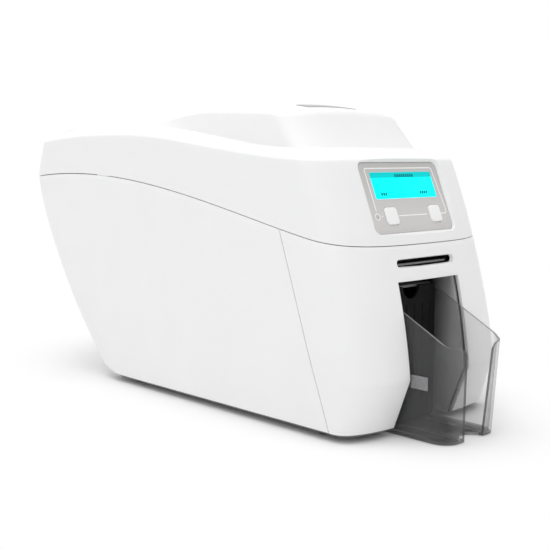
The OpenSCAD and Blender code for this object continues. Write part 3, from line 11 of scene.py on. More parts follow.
import bmesh
import bpy
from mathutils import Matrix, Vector

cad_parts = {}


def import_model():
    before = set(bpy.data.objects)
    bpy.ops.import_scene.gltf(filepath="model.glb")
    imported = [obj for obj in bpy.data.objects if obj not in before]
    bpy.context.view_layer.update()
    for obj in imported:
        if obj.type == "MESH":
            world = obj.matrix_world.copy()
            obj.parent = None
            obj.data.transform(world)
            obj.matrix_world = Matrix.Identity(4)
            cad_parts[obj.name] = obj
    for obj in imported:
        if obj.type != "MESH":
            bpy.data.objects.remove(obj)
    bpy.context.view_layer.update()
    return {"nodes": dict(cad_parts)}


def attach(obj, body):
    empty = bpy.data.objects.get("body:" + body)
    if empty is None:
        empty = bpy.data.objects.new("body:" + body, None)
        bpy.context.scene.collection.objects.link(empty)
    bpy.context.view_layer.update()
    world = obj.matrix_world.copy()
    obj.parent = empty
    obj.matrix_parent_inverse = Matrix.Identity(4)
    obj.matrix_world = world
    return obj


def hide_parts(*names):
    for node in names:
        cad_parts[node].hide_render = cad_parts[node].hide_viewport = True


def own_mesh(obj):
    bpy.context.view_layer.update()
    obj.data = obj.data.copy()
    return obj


LOG = logging.getLogger("card_printer")
MM = 0.001
# Middle of the footprint, seen from the middle of the card slot
SHIFT_X = 6.0
SHIFT_Y = 176.5
Point = tuple[float, float, float]
Row = list[Point]
Flat = tuple[float, float]
Object = bpy.types.Object
Tree = bpy.types.NodeTree
Node = bpy.types.Node
Nodes = dict[str, Object]
Socket = bpy.types.NodeSocket


# -------- small maths


def mix(a: float, b: float, t: float) -> float:
    """Value t of the way from a to b."""
    return a + (b - a) * t


def smooth(t: float) -> float:
    """Smooth step from 0 to 1."""
    u = min(1.0, max(0.0, t))
    return u * u * (3 - 2 * u)


def steps(low: float, high: float, count: int) -> list[float]:
    """Evenly spaced values from low to high, count intervals."""
    return [mix(low, high, k / count) for k in range(count + 1)]


def to_row(p: Sequence[float]) -> Vector:
    """Metres in the row frame of a point in millimetres from the middle of the card slot."""
    return Vector(((p[0] - SHIFT_X) * MM, (p[1] - SHIFT_Y) * MM, p[2] * MM))


def add_object(name: str, data: bpy.types.ID) -> Object:
    """Puts a new object with this data in the scene."""
    made = bpy.data.objects.new(name, data)
    bpy.context.scene.collection.objects.link(made)
    return made


def add_node(tree: Tree, kind: str, links: dict[str | int, object] | None = None,
             **settings: object) -> Node:
    """Adds a node, sets it up and links or fills its inputs.

    Args:
        tree: the tree that gets the node.
        kind: type of the node.
        links: a socket or a value for each named input.
        settings: the node's own settings.

    Returns:
        The new node.
    """
    made = tree.nodes.new(kind)
    for key, value in settings.items():
        setattr(made, key, value)
    for key, source in (links or {}).items():
        if isinstance(source, Socket):
            tree.links.new(source, made.inputs[key])
        else:
            made.inputs[key].default_value = source
    return made


def ranged(tree: Tree, value: Socket, source: Flat = (0.0, 1.0), target: Flat = (0.0, 1.0),
           kind: str = "LINEAR") -> Socket:
    """Carries a shader value from one range to another.

    Args:
        tree: the shader's tree.
        value: the value.
        source: ends of its range.
        target: what it becomes at these ends.
        kind: LINEAR or SMOOTHSTEP.

    Returns:
        The socket of the new value.
    """
    made = add_node(tree, "ShaderNodeMapRange", {
        "Value": value, "From Min": source[0], "From Max": source[1], "To Min": target[0],
        "To Max": target[1]}, interpolation_type=kind)
    return made.outputs["Result"]


# -------- finishes


class Texture(Enum):
    """Fine surface structure of a finish."""

    SPARK = "spark eroded mould texture"
    SMOOTH = "polished mould with flow marks"
    BRUSHED = "fine lines along the length"
    TURNED = "fine rings round the X axis"
    GROUND = "ground rubber"
    WOUND = "edges of wound film"
    ZINC = "plated sheet"


# Part of the noise's range over which the tone changes
TONE_FROM = 0.3
TONE_TO = 0.7
# Size of the roughness patches against that of the tone patches
ROUGH_PATCH = 0.4
SMOOTHEST = 0.02
BUMP_STRENGTH = 0.5
# Detail of the noises for tone, roughness, spark eroded and smooth surfaces
TONE_DETAIL = 3.0
ROUGH_DETAIL = 4.0
SPARK_DETAIL = 5.0
SMOOTH_DETAIL = 1.0
BRUSH_DETAIL = 2.0
# How much turned rings and wound edges waver
TURNED_WAVER = 1.5
WOUND_WAVER = 4.0
# Brings the band texture's scale to the grain
BAND_STEP = 6.0
BRUSH_STRETCH = (30.0, 1.0, 1.0)
PER_METRE = 1.0 / MM


@dataclass(frozen=True)
class Canvas:
    """A material's tree, its main shader and the socket of the place on the piece."""

    tree: Tree
    shader: Node
    place: Socket


@dataclass(frozen=True)
class Finish:
    """A procedural material.

    The colour varies slowly by tone_shift, the roughness by rough_shift, and the fine structure is
    relief millimetres deep and grain millimetres across. As painted shade, the colour is multiplied by
    fade[2] between fade[0] and fade[1] along fade_axis, darker where less light reaches. veil is how much
    a face hides when it is seen square on.
    """

    name: str
    colour: tuple[float, float, float]
    rough: float
    texture: Texture = Texture.SPARK
    metal: float = 0.0
    grain: float = 0.5
    relief: float = 0.01
    tone_shift: float = 0.03
    rough_shift: float = 0.06
    patch: float = 30.0
    ior: float = 1.47
    glow: float = 0.0
    coat: float = 0.0
    coat_rough: float = 0.08
    painted_shade: tuple[float, float, float] | None = None
    fade_axis: str = "Z"
    veil: float = 1.0
    veil_gain: float = 0.5
    veil_blend: float = 0.25

    def material(self) -> bpy.types.Material:
        """Builds the material once and returns it.

        Returns:
            The Blender material of this finish.
        """
        label = f"{self.name}_finish"
        found = bpy.data.materials.get(label)
        if found:
            return found
        made = bpy.data.materials.new(label)
        made.use_nodes = True
        tree = made.node_tree
        shader = tree.nodes["Principled BSDF"]
        values = {"Metallic": self.metal, "IOR": self.ior, "Coat Weight": self.coat,
                  "Coat Roughness": self.coat_rough}
        for key, value in values.items():
            shader.inputs[key].default_value = value
        on = Canvas(tree, shader, tree.nodes.new("ShaderNodeTexCoord").outputs["Object"])
        self._colour(on)
        self._roughness(on)
        self._relief(on)
        if self.veil < 1.0:
            self._veil(on)
        return made

    def _veil(self, on: Canvas) -> None:
        """Lets the view through a thin wall, less so where the face turns away.

        Args:
            on: the material.
        """
        weight = add_node(on.tree, "ShaderNodeLayerWeight", {"Blend": self.veil_blend})
        most = min(1.0, self.veil + self.veil_gain)
        hidden = ranged(on.tree, weight.outputs["Facing"], target=(self.veil, most))
        on.tree.links.new(hidden, on.shader.inputs["Alpha"])

    def _noise(self, on: Canvas, size: float, detail: float, stretch: Point = (1.0, 1.0, 1.0)) -> Socket:
        """Adds a noise.

        Args:
            on: the material.
            size: size of the noise's features in millimetres.
            detail: how fine it gets below that size.
            stretch: how much longer its features are along each axis.

        Returns:
            The socket of its value.
        """
        scale = tuple(PER_METRE / size / s for s in stretch)
        mapping = add_node(on.tree, "ShaderNodeMapping", {"Vector": on.place, "Scale": scale})
        noise = add_node(on.tree, "ShaderNodeTexNoise", {
            "Vector": mapping.outputs["Vector"], "Scale": 1.0, "Detail": detail})
        return noise.outputs["Fac"]

    def _colour(self, on: Canvas) -> None:
        """Sets the base colour with slow tone changes, and a fade along an axis where there is one.

        Args:
            on: the material.
        """
        tree, shader = on.tree, on.shader
        ramp = add_node(tree, "ShaderNodeValToRGB", {"Fac": self._noise(on, self.patch, TONE_DETAIL)})
        tones = ((TONE_FROM, 1 - self.tone_shift), (TONE_TO, 1 + self.tone_shift))
        for element, (position, share) in zip(ramp.color_ramp.elements, tones):
            element.position = position
            element.color = (*(min(1.0, c * share) for c in self.colour), 1)
        colour = ramp.outputs["Color"]
        # Painted shade: the colour is darkened along an axis where less light reaches
        if self.painted_shade:
            start, end, dim = self.painted_shade
            split = add_node(tree, "ShaderNodeSeparateXYZ", {"Vector": on.place})
            share = ranged(tree, split.outputs[self.fade_axis], (start * MM, end * MM))
            shade = add_node(tree, "ShaderNodeMix", {"Factor": share, "A": colour, "B": (dim, dim, dim, 1)},
                             data_type="RGBA", blend_type="MULTIPLY")
            colour = shade.outputs["Result"]
        tree.links.new(colour, shader.inputs["Base Color"])
        if self.glow:
            tree.links.new(colour, shader.inputs["Emission Color"])
            shader.inputs["Emission Strength"].default_value = self.glow

    def _roughness(self, on: Canvas) -> None:
        """Sets a roughness that wanders over the surface as handled plastic or metal does.

        Args:
            on: the material.
        """
        noise = self._noise(on, self.patch * ROUGH_PATCH, ROUGH_DETAIL)
        low = max(SMOOTHEST, self.rough - self.rough_shift)
        rough = ranged(on.tree, noise, target=(low, self.rough + self.rough_shift))
        on.tree.links.new(rough, on.shader.inputs["Roughness"])

    def _relief(self, on: Canvas) -> None:
        """Sets the fine structure as bump.

        Args:
            on: the material.
        """
        tree, place = on.tree, on.place
        if self.texture in (Texture.TURNED, Texture.WOUND):
            waver = TURNED_WAVER if self.texture is Texture.TURNED else WOUND_WAVER
            scale = PER_METRE / self.grain / BAND_STEP
            wave = add_node(tree, "ShaderNodeTexWave", {"Vector": place, "Scale": scale, "Distortion": waver},
                            wave_type="BANDS", bands_direction="X")
            height = wave.outputs["Fac"]
        elif self.texture is Texture.BRUSHED:
            height = self._noise(on, self.grain, BRUSH_DETAIL, BRUSH_STRETCH)
        elif self.texture is Texture.ZINC:
            cells = add_node(tree, "ShaderNodeTexVoronoi", {"Vector": place, "Scale": PER_METRE / self.grain})
            height = cells.outputs["Distance"]
        else:
            detail = SPARK_DETAIL if self.texture is Texture.SPARK else SMOOTH_DETAIL
            height = self._noise(on, self.grain, detail)
        bump = add_node(tree, "ShaderNodeBump", {
            "Height": height, "Strength": BUMP_STRENGTH, "Distance": self.relief * MM})
        tree.links.new(bump.outputs["Normal"], on.shader.inputs["Normal"])


class Shades:
    """The finishes of the printer and of the floor."""

    COVER = Finish("cover_white", (0.86, 0.86, 0.862), 0.42, grain=0.35, relief=0.006, tone_shift=0.008)
    TRAY = Finish("tray_grey", (0.17, 0.17, 0.175), 0.6, grain=0.6, relief=0.02)
    # Bay liner: lighter at the bay's mouth as painted light, darkening deeper in as painted shade
    LINER = Finish("liner_painted_light_shade", (0.56, 0.56, 0.565), 0.7, grain=0.5, relief=0.02, tone_shift=0.1,
                   ior=1.12,
                   painted_shade=(-176.0, -156.0, 0.02), fade_axis="Y")
    # Card diverter seen in the slot: grey at the slot's mouth as painted light, darkening deeper in as
    # painted shade
    GUIDE_PAINTED_LIGHT_SHADE = Finish("guide_painted_light_shade", (0.36, 0.36, 0.365), 0.6, grain=0.5, relief=0.01, ior=1.2,
                   painted_shade=(-174.0, -168.5, 0.03), fade_axis="Y")
    FOOT = Finish("foot_rubber", (0.02, 0.02, 0.021), 0.85, Texture.GROUND, grain=0.3, relief=0.03)
    FRAME = Finish("frame_grey", (0.48, 0.49, 0.5), 0.5, grain=0.5, relief=0.015)
    BADGE = Finish("badge_grey", (0.24, 0.25, 0.26), 0.28, Texture.SMOOTH, grain=1.5, relief=0.004,
                   coat=0.3)
    # Silver bezel, darker towards its top: a painted shadow of the recess's upper edge
    BEZEL = Finish("bezel_silver", (0.62, 0.61, 0.6), 0.5, grain=0.3, relief=0.004, tone_shift=0.015,
                   ior=1.3,
                   painted_shade=(150.0, 188.0, 0.82))
    PRINT = Finish("printed_line", (0.93, 0.93, 0.93), 0.5, Texture.SMOOTH, grain=0.6, relief=0.002)
    DISPLAY = Finish("display_cyan", (0.0, 0.95, 0.96), 0.6, Texture.SMOOTH, grain=0.4, relief=0.001,
                     tone_shift=0.01, ior=1.2, glow=0.6)
    DISPLAY_BAND = Finish("display_band", (0.0, 0.5, 0.51), 0.6, Texture.SMOOTH, grain=0.4, relief=0.001,
                          tone_shift=0.02, ior=1.2, glow=0.4)
    PIXEL = Finish("display_segment", (0.0, 0.2, 0.22), 0.6, Texture.SMOOTH, grain=0.4, relief=0.001,
                   ior=1.2)
    BOARD = Finish("board_green", (0.012, 0.075, 0.035), 0.32, Texture.SMOOTH, grain=0.8, relief=0.01,
                   tone_shift=0.25, patch=6.0)
    CHIP = Finish("chip_black", (0.018, 0.018, 0.02), 0.5, grain=0.25, relief=0.01)
    KEY = Finish("key_white", (0.9, 0.9, 0.9), 0.3, Texture.SMOOTH, grain=1.2, relief=0.003)
    LAMP = Finish("lamp_lens", (0.5, 0.5, 0.49), 0.2, Texture.SMOOTH, grain=0.6, relief=0.002)
    SMOKE = Finish("smoke_clear", (0.22, 0.22, 0.225), 0.08, Texture.SMOOTH, grain=20.0, relief=0.002,
                   tone_shift=0.02, rough_shift=0.03, veil=0.08)
    SMOKE_EDGE = Finish("smoke_edge", (0.16, 0.16, 0.165), 0.2, Texture.SMOOTH, grain=4.0, relief=0.01,
                        veil=0.8)
    SMOKE_END = Finish("smoke_end", (0.05, 0.05, 0.052), 0.15, Texture.SMOOTH, grain=4.0, relief=0.01,
                       veil=0.75)
    # Hopper floor, darker and less clear than the walls: painted shade and a painted dark reflection
    SMOKE_FLOOR = Finish("smoke_floor_painted_shade", (0.03, 0.03, 0.031), 0.1, Texture.SMOOTH, grain=9.0, relief=0.01,
                         rough_shift=0.03, veil=0.42)
    FROST = Finish("smoke_frosted", (0.25, 0.25, 0.255), 0.5, grain=0.8, relief=0.08, tone_shift=0.3,
                   patch=0.8)
    GATE = Finish("gate_black", (0.016, 0.016, 0.0163), 0.7, grain=0.5, relief=0.015, ior=1.12)
    PLATE = Finish("plate_grey", (0.17, 0.17, 0.175), 0.5, grain=0.5, relief=0.015)
    SPRING = Finish("spring_steel", (0.62, 0.62, 0.63), 0.22, Texture.TURNED, 1.0, 0.2, 0.004)
    SHEET = Finish("sheet_steel", (0.58, 0.6, 0.62), 0.34, Texture.ZINC, 1.0, 6.0, 0.006, tone_shift=0.06)
    SHAFT = Finish("shaft_steel", (0.66, 0.66, 0.68), 0.2, Texture.TURNED, 1.0, 0.25, 0.003)
    MAGNET = Finish("magnet_grey", (0.1, 0.1, 0.105), 0.4, grain=0.8, relief=0.02)
    BRASS = Finish("bush_brass", (0.6, 0.42, 0.16), 0.3, Texture.TURNED, 1.0, 0.3, 0.004)
    BED = Finish("bed_plastic", (0.045, 0.045, 0.048), 0.4, Texture.SMOOTH, grain=2.0, relief=0.01)
    RUBBER = Finish("roller_rubber", (0.03, 0.032, 0.034), 0.8, Texture.GROUND, grain=0.25, relief=0.03)
    CLEAN = Finish("cleaning_rubber", (0.08, 0.2, 0.5), 0.35, Texture.GROUND, grain=0.6, relief=0.01)
    PINCH = Finish("turned_aluminium", (0.7, 0.7, 0.72), 0.26, Texture.TURNED, 1.0, 0.3, 0.004)
    SINK = Finish("heat_sink", (0.72, 0.72, 0.74), 0.32, Texture.BRUSHED, 1.0, 0.3, 0.006)
    MOTOR = Finish("motor_black", (0.025, 0.025, 0.027), 0.36, grain=0.7, relief=0.012)
    BELT = Finish("belt_rubber", (0.018, 0.018, 0.019), 0.7, Texture.BRUSHED, grain=0.4, relief=0.03)
    AMBER = Finish("ribbon_amber", (0.75, 0.3, 0.05), 0.24, Texture.WOUND, grain=0.5, relief=0.02,
                   tone_shift=0.1)
    BROWN = Finish("ribbon_used", (0.16, 0.08, 0.05), 0.28, Texture.WOUND, grain=0.5, relief=0.02,
                   tone_shift=0.2)
    FILM = Finish("ribbon_film", (0.22, 0.05, 0.3), 0.14, Texture.BRUSHED, grain=2.0, relief=0.01,
                  tone_shift=0.15)
    SOCKET = Finish("socket_black", (0.014, 0.014, 0.015), 0.42, grain=0.5, relief=0.01)
    STAMPED = Finish("socket_metal", (0.7, 0.7, 0.71), 0.24, Texture.ZINC, 1.0, 3.0, 0.004)
    FLOOR = Finish("floor_white", (0.93, 0.93, 0.93), 0.9, grain=2.0, relief=0.002, tone_shift=0.004)
    GOLD = Finish("contact_gold", (0.8, 0.58, 0.24), 0.24, Texture.BRUSHED, 1.0, 0.2, 0.002)


# -------- mesh helpers


@dataclass
class Draft:
    """A mesh in the making, in millimetres from the middle of the card slot."""

    points: list[Point] = field(default_factory=list)
    faces: list[tuple[int, ...]] = field(default_factory=list)

    def rows(self, rows: Sequence[Row], closed: bool) -> list[list[int]]:
        """Adds a grid of quads.

        Args:
            rows: rows of points, all as long.
            closed: True where a row's end meets its start.

        Returns:
            The indices of the grid's points, row by row.
        """
        index = []
        for row in rows:
            index.append(list(range(len(self.points), len(self.points) + len(row))))
            self.points.extend(row)
        for a, b in zip(index, index[1:]):
            self.strip(a, b, closed)
        return index

    def strip(self, a: Sequence[int], b: Sequence[int], closed: bool) -> None:
        """Joins two runs of points that have the same length."""
        count = len(a)
        for k in range(count if closed else count - 1):
            n = (k + 1) % count
            self.faces.append((a[k], a[n], b[n], b[k]))

    def piece(self, name: str, finish: Finish, crease: float = 32.0,
              merge: float = 0.001) -> Object:
        """Makes the object, with faces outwards and smooth but for edges sharper than crease degrees.

        Args:
            name: name of the object.
            finish: its finish.
            crease: angle in degrees above which an edge stays sharp.
            merge: distance in millimetres under which points are joined.

        Returns:
            The new object, in the scene, at the origin.
        """
        mesh = bpy.data.meshes.new(name)
        mesh.from_pydata([to_row(p) for p in self.points], [], self.faces)
        made = add_object(name, mesh)
        mesh.materials.append(finish.material())
        tidy(made, crease, merge)
        return made


def tidy(piece: Object, crease: float, merge: float = 0.001) -> None:
    """Merges doubles, turns the faces outwards and sets smooth shading with sharp creases.

    Args:
        piece: the piece to tidy.
        crease: angle in degrees above which an edge stays sharp.
        merge: distance in millimetres under which points are joined.
    """
    work = bmesh.new()
    work.from_mesh(piece.data)
    bmesh.ops.remove_doubles(work, verts=work.verts, dist=merge * MM)
    bmesh.ops.dissolve_degenerate(work, edges=work.edges, dist=merge * MM * 0.1)
    bmesh.ops.recalc_face_normals(work, faces=work.faces)
    for face in work.faces:
        face.smooth = True
    work.to_mesh(piece.data)
    work.free()
    piece.data.set_sharp_from_angle(angle=math.radians(crease))


def apply_modifiers(piece: Object) -> None:
    """Replaces the piece's mesh by the result of its modifiers and removes them."""
    graph = bpy.context.evaluated_depsgraph_get()
    baked = bpy.data.meshes.new_from_object(piece.evaluated_get(graph), depsgraph=graph)
    piece.modifiers.clear()
    piece.data = baked


def bevel(piece: Object, width: float, angle: float = 40.0, segments: int = 2) -> None:
    """Rounds the piece's sharp edges.

    Args:
        piece: the piece.
        width: width of the rounding in millimetres.
        angle: angle in degrees above which an edge is rounded.
        segments: flats in the rounding.
    """
    made = piece.modifiers.new("edge", "BEVEL")
    made.width = width * MM
    made.segments = segments
    made.limit_method = "ANGLE"
    made.angle_limit = math.radians(angle)
    made.use_clamp_overlap = True
    made.miter_outer = "MITER_ARC"
    apply_modifiers(piece)


def combine(piece: Object, others: Iterable[Object], operation: str) -> None:
    """Adds or cuts other solids and deletes them.

    Args:
        piece: the solid that stays.
        others: the solids to add or cut.
        operation: UNION or DIFFERENCE.
    """
    others = list(others)
    for other in others:
        made = piece.modifiers.new("join", "BOOLEAN")
        made.operation = operation
        made.solver = "EXACT"
        made.object = other
    apply_modifiers(piece)
    for other in others:
        bpy.data.objects.remove(other)


def block(name: str, low: Point, high: Point, finish: Finish = Shades.COVER) -> Object:
    """Box from its lowest to its highest corner."""
    draft = Draft()
    (x0, y0, z0), (x1, y1, z1) = low, high
    draft.rows([[(x0, y0, z), (x1, y0, z), (x1, y1, z), (x0, y1, z)] for z in (z0, z1)], True)
    draft.faces += [(3, 2, 1, 0), (4, 5, 6, 7)]
    return draft.piece(name, finish)


def rounded(w: float, h: float, r: float, count: int = 8) -> list[Flat]:
    """Outline of a rounded rectangle round the origin, anticlockwise.

    Args:
        w: width.
        h: height.
        r: radius of the corners.
        count: steps in each corner.

    Returns:
        The outline's points.
    """
    out = []
    for k, (sx, sy) in enumerate(((1, 1), (-1, 1), (-1, -1), (1, -1))):
        for a in steps(90.0 * k, 90.0 * k + 90.0, count):
            t = math.radians(a)
            out.append((sx * (w / 2 - r) + r * math.cos(t), sy * (h / 2 - r) + r * math.sin(t)))
    return out


def prism(name: str, layers: Sequence[tuple[Sequence[Flat], float]],
          place: Callable[[float, float, float], Point], finish: Finish = Shades.COVER,
          crease: float = 32.0) -> Object:
    """Solid through outlines at several heights.

    Args:
        name: name of the object.
        layers: outlines with as many points each, and their heights.
        place: turns an outline's x, y and height into a point in millimetres.
        finish: its finish.
        crease: angle above which edges stay sharp.

    Returns:
        The closed solid.
    """
    draft = Draft()
    index = draft.rows([[place(x, y, h) for x, y in outline] for outline, h in layers], True)
    draft.faces += [tuple(reversed(index[0])), tuple(index[-1])]
    return draft.piece(name, finish, crease)


def lathe(name: str, profile: Sequence[Flat], at: Flat, finish: Finish, count: int = 48,
          crease: float = 32.0) -> Object:
    """Solid turned round an axis along X.

    Args:
        name: name of the object.
        profile: places along X and radii, from one end to the other.
        at: Y and Z of the axis.
        finish: its finish.
        count: number of sides.
        crease: angle above which edges stay sharp.

    Returns:
        The closed solid.
    """
    draft = Draft()
    angles = steps(0.0, 2 * math.pi, count)[:-1]
    run = [(profile[0][0], 0.0), *profile, (profile[-1][0], 0.0)]
    rings = [[(x, at[0] + r * math.cos(a), at[1] + r * math.sin(a)) for a in angles] for x, r in run]
    draft.rows(rings, True)
    return draft.piece(name, finish, crease, merge=0.004)


def both_ends(half: Sequence[Flat]) -> list[Flat]:
    """Profile for lathe from its first half, the same at the other end."""
    return [*half, *((-x, r) for x, r in reversed(half))]


# -------- curves of the case


@dataclass(frozen=True)
class CaseForm:
    """Curves of the covers, in millimetres: y grows to the back, z is the height above the table."""

    body_w: float = 164.0
    foot_w: float = 161.0
    foot_flare_h: float = 60.0
    depth: float = 397.0
    shell_z: float = 6.0
    wall: float = 2.5
    seam_gap: float = 0.6
    toe_z: float = 41.0
    toe_out: float = 16.6
    undercut: float = 13.9
    toe_lean: float = 5.85
    brow_y: float = 23.5
    foot_corner: float = 22.0
    toe_corner: float = 36.0
    lid_corner: float = 43.5
    corner_rise: float = 88.0
    power: float = 3.05
    tail_z: float = 172.0
    tail_sweep: float = 102.0
    tail_power: float = 1.43
    heel: float = 11.0
    heel_h: float = 8.0
    crest_sweep: float = 11.9
    crest_h: float = 33.0
    crest_power: float = 1.25
    rear_corner: float = 22.0
    rear_cover_half: float = 62.0
    seam_front_z: float = 129.0
    seam_rise: float = 45.5
    seam_start_y: float = -5.0
    seam_run: float = 322.0
    seam_power: float = 0.755
    seam_droop: Point = (320.0, 62.0, 3.0)
    shoulder_z: float = 187.7
    shoulder_rise: float = 20.0
    shoulder_r: float = 2.2
    shoulder_y: float = 30.0
    shoulder_run: float = 230.0
    top_droop: Point = (280.0, 90.0, 4.5)
    cheek_foot_y: float = 19.6
    cheek_top_y: float = 66.0
    hood_w: float = 134.0
    hood_top_w: float = 127.0
    hood_front_y: float = 54.0
    hood_brow_y: float = 74.0
    hood_foot_z: float = 195.0
    hood_foot_rise: float = 17.5
    hood_foot_y: float = 60.0
    hood_foot_run: float = 170.0
    hood_corner: float = 25.0
    hood_brow_corner: float = 22.0
    hood_rear_in: float = 18.0
    hood_tail_in: float = 24.0
    ridge_z: float = 235.0
    ridge_y: float = 205.0
    brow_fall: float = 13.0
    tail_fall: float = 16.0
    crown: float = 10.0
    crown_front: float = 4.5
    crown_run: float = 90.0
    brim_z: float = 214.0
    brim_y: float = 150.0
    brim_run: float = 100.0
    roof_power: float = 2.2
    ridge_pull: float = 0.4
    front_steps: int = 26
    side_steps: int = 44
    rear_steps: int = 14
    settle_start: float = 100.0
    settle_turns: int = 4

    @property
    def half_steps(self) -> int:
        """Steps on half a plan outline."""
        return self.front_steps + self.side_steps + self.rear_steps

    def half_w(self, z: float) -> float:
        """Half width of the case at height z."""
        return mix(self.foot_w, self.body_w, smooth((z - self.shell_z) / self.foot_flare_h)) / 2

    def front_y(self, z: float) -> float:
        """Front of the case on the middle line.

        Args:
            z: height above the table.

        Returns:
            Its y.
        """
        if z <= self.toe_z:
            return -self.toe_out + self.undercut * (self.toe_z - z) / (self.toe_z - self.shell_z)
        slope = math.tan(math.radians(self.toe_lean))
        rise = self.shoulder_z - self.toe_z
        lean = (self.brow_y + self.toe_out - slope * rise) / rise ** 2
        return -self.toe_out + slope * (z - self.toe_z) + lean * (z - self.toe_z) ** 2

    def rear_y(self, z: float) -> float:
        """Back of the case at height z, on the middle line."""
        if z > self.tail_z:
            return self.depth - self.crest_sweep * ((z - self.tail_z) / self.crest_h) ** self.crest_power
        sweep = ((self.tail_z - z) / (self.tail_z - self.shell_z)) ** self.tail_power
        heel = self.heel * max(0.0, 1 - (z - self.shell_z) / self.heel_h) ** 2
        return self.depth - self.tail_sweep * sweep - heel

    def corner_depth(self, z: float) -> float:
        """Depth of the rounded front corners at height z."""
        if z > self.toe_z:
            return mix(self.toe_corner, self.lid_corner, smooth((z - self.toe_z) / self.corner_rise))
        return mix(self.foot_corner, self.toe_corner, (z - self.shell_z) / (self.toe_z - self.shell_z))

    @staticmethod
    def droop(y: float, start: float, run: float, fall: float) -> float:
        """Fall of an edge behind start."""
        return fall * (max(0.0, y - start) / run) ** 2

    def seam_z(self, y: float) -> float:
        """Height of the lid seam."""
        t = min(1.0, max(0.0, y - self.seam_start_y) / self.seam_run) ** self.seam_power
        return self.seam_front_z + self.seam_rise * smooth(t) - self.droop(y, *self.seam_droop)

    def edge_z(self, y: float) -> float:
        """Height of the shoulder edge."""
        rise = self.shoulder_rise * smooth((y - self.shoulder_y) / self.shoulder_run)
        return self.shoulder_z + rise - self.droop(y, *self.top_droop)

    def hood_z(self, y: float) -> float:
        """Height of the hood's foot."""
        rise = self.hood_foot_rise * smooth((y - self.hood_foot_y) / self.hood_foot_run)
        return self.hood_foot_z + rise - self.droop(y, *self.top_droop)

    def ridge(self, y: float) -> float:
        """Height of the roof on the middle line."""
        if y < self.ridge_y:
            ahead = (self.ridge_y - y) / (self.ridge_y - self.hood_brow_y)
            return self.ridge_z - self.brow_fall * ahead ** 2
        return self.ridge_z - self.tail_fall * ((y - self.ridge_y) / (self.depth - self.ridge_y)) ** 2

    def roof_z(self, x: float, y: float) -> float:
        """Height of the roof."""
        top = self.ridge(y)
        edge = top - mix(self.crown_front, self.crown, smooth((y - self.hood_brow_y) / self.crown_run))
        brim = mix(edge, self.brim_z, smooth((y - self.brim_y) / self.brim_run))
        return top - (top - brim) * abs(2 * x / self.hood_top_w) ** self.roof_power

    def cheek_y(self, z: float) -> float:
        """Place of the seam between the front cover and a side panel."""
        top = self.seam_z(self.cheek_top_y)
        return mix(self.cheek_foot_y, self.cheek_top_y, (z - self.shell_z) / (top - self.shell_z))

    def corner_x(self, a: float, half: float) -> float:
        """X on a rounded corner, a degrees round from the middle line."""
        return half * math.sin(math.radians(a)) ** (2 / self.power)

    def corner_y(self, a: float, depth: float) -> float:
        """Depth on a rounded corner, a degrees round from the middle line."""
        return depth * (1 - max(0.0, math.cos(math.radians(a))) ** (2 / self.power))

    def plan(self, i: int, half: float, front: float, front_depth: float, rear: float,
             rear_depth: float) -> Flat:
        """Point on the right half of a plan outline.

        Args:
            i: number of the point, from the front middle to the rear middle.
            half: half width of the outline.
            front: its front.
            front_depth: depth of its front corner.
            rear: its back.
            rear_depth: depth of its rear corner.

        Returns:
            The point's x and y.
        """
        if i <= self.front_steps:
            a = 90.0 * i / self.front_steps
            return self.corner_x(a, half), front + self.corner_y(a, front_depth)
        if i <= self.front_steps + self.side_steps:
            t = (i - self.front_steps) / self.side_steps
            return half, mix(front + front_depth, rear - rear_depth, t)
        a = 90.0 * (self.half_steps - i) / self.rear_steps
        return self.corner_x(a, half), rear - self.corner_y(a, rear_depth)

    def case_plan(self, i: int, z: float, d: float, front: float) -> Flat:
        """Plan outline at height z, set in by d, and by front at the front."""
        return self.plan(i, self.half_w(z) - d, self.front_y(z) + front, self.corner_depth(z) - d,
                         self.rear_y(z) - d, self.rear_corner - d)

    def settle(self, place: Callable[[float], Flat], height: Callable[[float], float]) -> Point:
        """Point whose height depends on its y and whose y depends on its height.

        Args:
            place: x and y at a height.
            height: height at a y.

        Returns:
            The point after a few turns from one to the other.
        """
        x, y = 0.0, self.settle_start
        for _ in range(self.settle_turns):
            x, y = place(height(y))
        return x, y, height(y)

    def flank(self, i: int, v: float, d: float, front: float, low: float, high: float) -> Point:
        """Point on the lid's flank, v of the way from the seam to the shoulder edge."""
        return self.settle(lambda z: self.case_plan(i, z, d, front),
                           lambda y: mix(self.seam_z(y) + low, self.edge_z(y) - high, v))

    def hood_plan(self, i: int, t: float, d: float) -> Flat:
        """Hood outline, t from its foot (0) to its upper edge (1)."""
        return self.plan(i, mix(self.hood_w, self.hood_top_w, t) / 2 - d,
                         mix(self.hood_front_y, self.hood_brow_y, t) + d,
                         mix(self.hood_corner, self.hood_brow_corner, t),
                         self.depth - mix(self.hood_rear_in, self.hood_tail_in, t) - d, self.rear_corner - d)

    def hood_point(self, i: int, t: float, d: float, lift: float) -> Point:
        """Point on the hood's side, lift from its foot (0) to the roof (1)."""
        x, y = self.hood_plan(i, t, d)
        return x, y, mix(self.hood_z(y), self.roof_z(x, y), lift) - d

    def roof_point(self, i: int, s: float, d: float) -> Point:
        """Point of the roof outline shrunk towards the ridge."""
        px, py = self.hood_plan(i, 1, d)
        x, y = px * s, mix(self.ridge_y, py, mix(1, s, self.ridge_pull))
        return x, y, self.roof_z(x, y) - d

    def ring(self, point: Callable[[int], Point]) -> Row:
        """Closed ring from its right half, moved from the middle of the case to that of the card path."""
        half = [point(i) for i in range(self.half_steps + 1)]
        both = half + [(-x, y, z) for x, y, z in reversed(half[1:-1])]
        return [(x + SHIFT_X, y, z) for x, y, z in both]


FORM = CaseForm()


# -------- geometry nodes


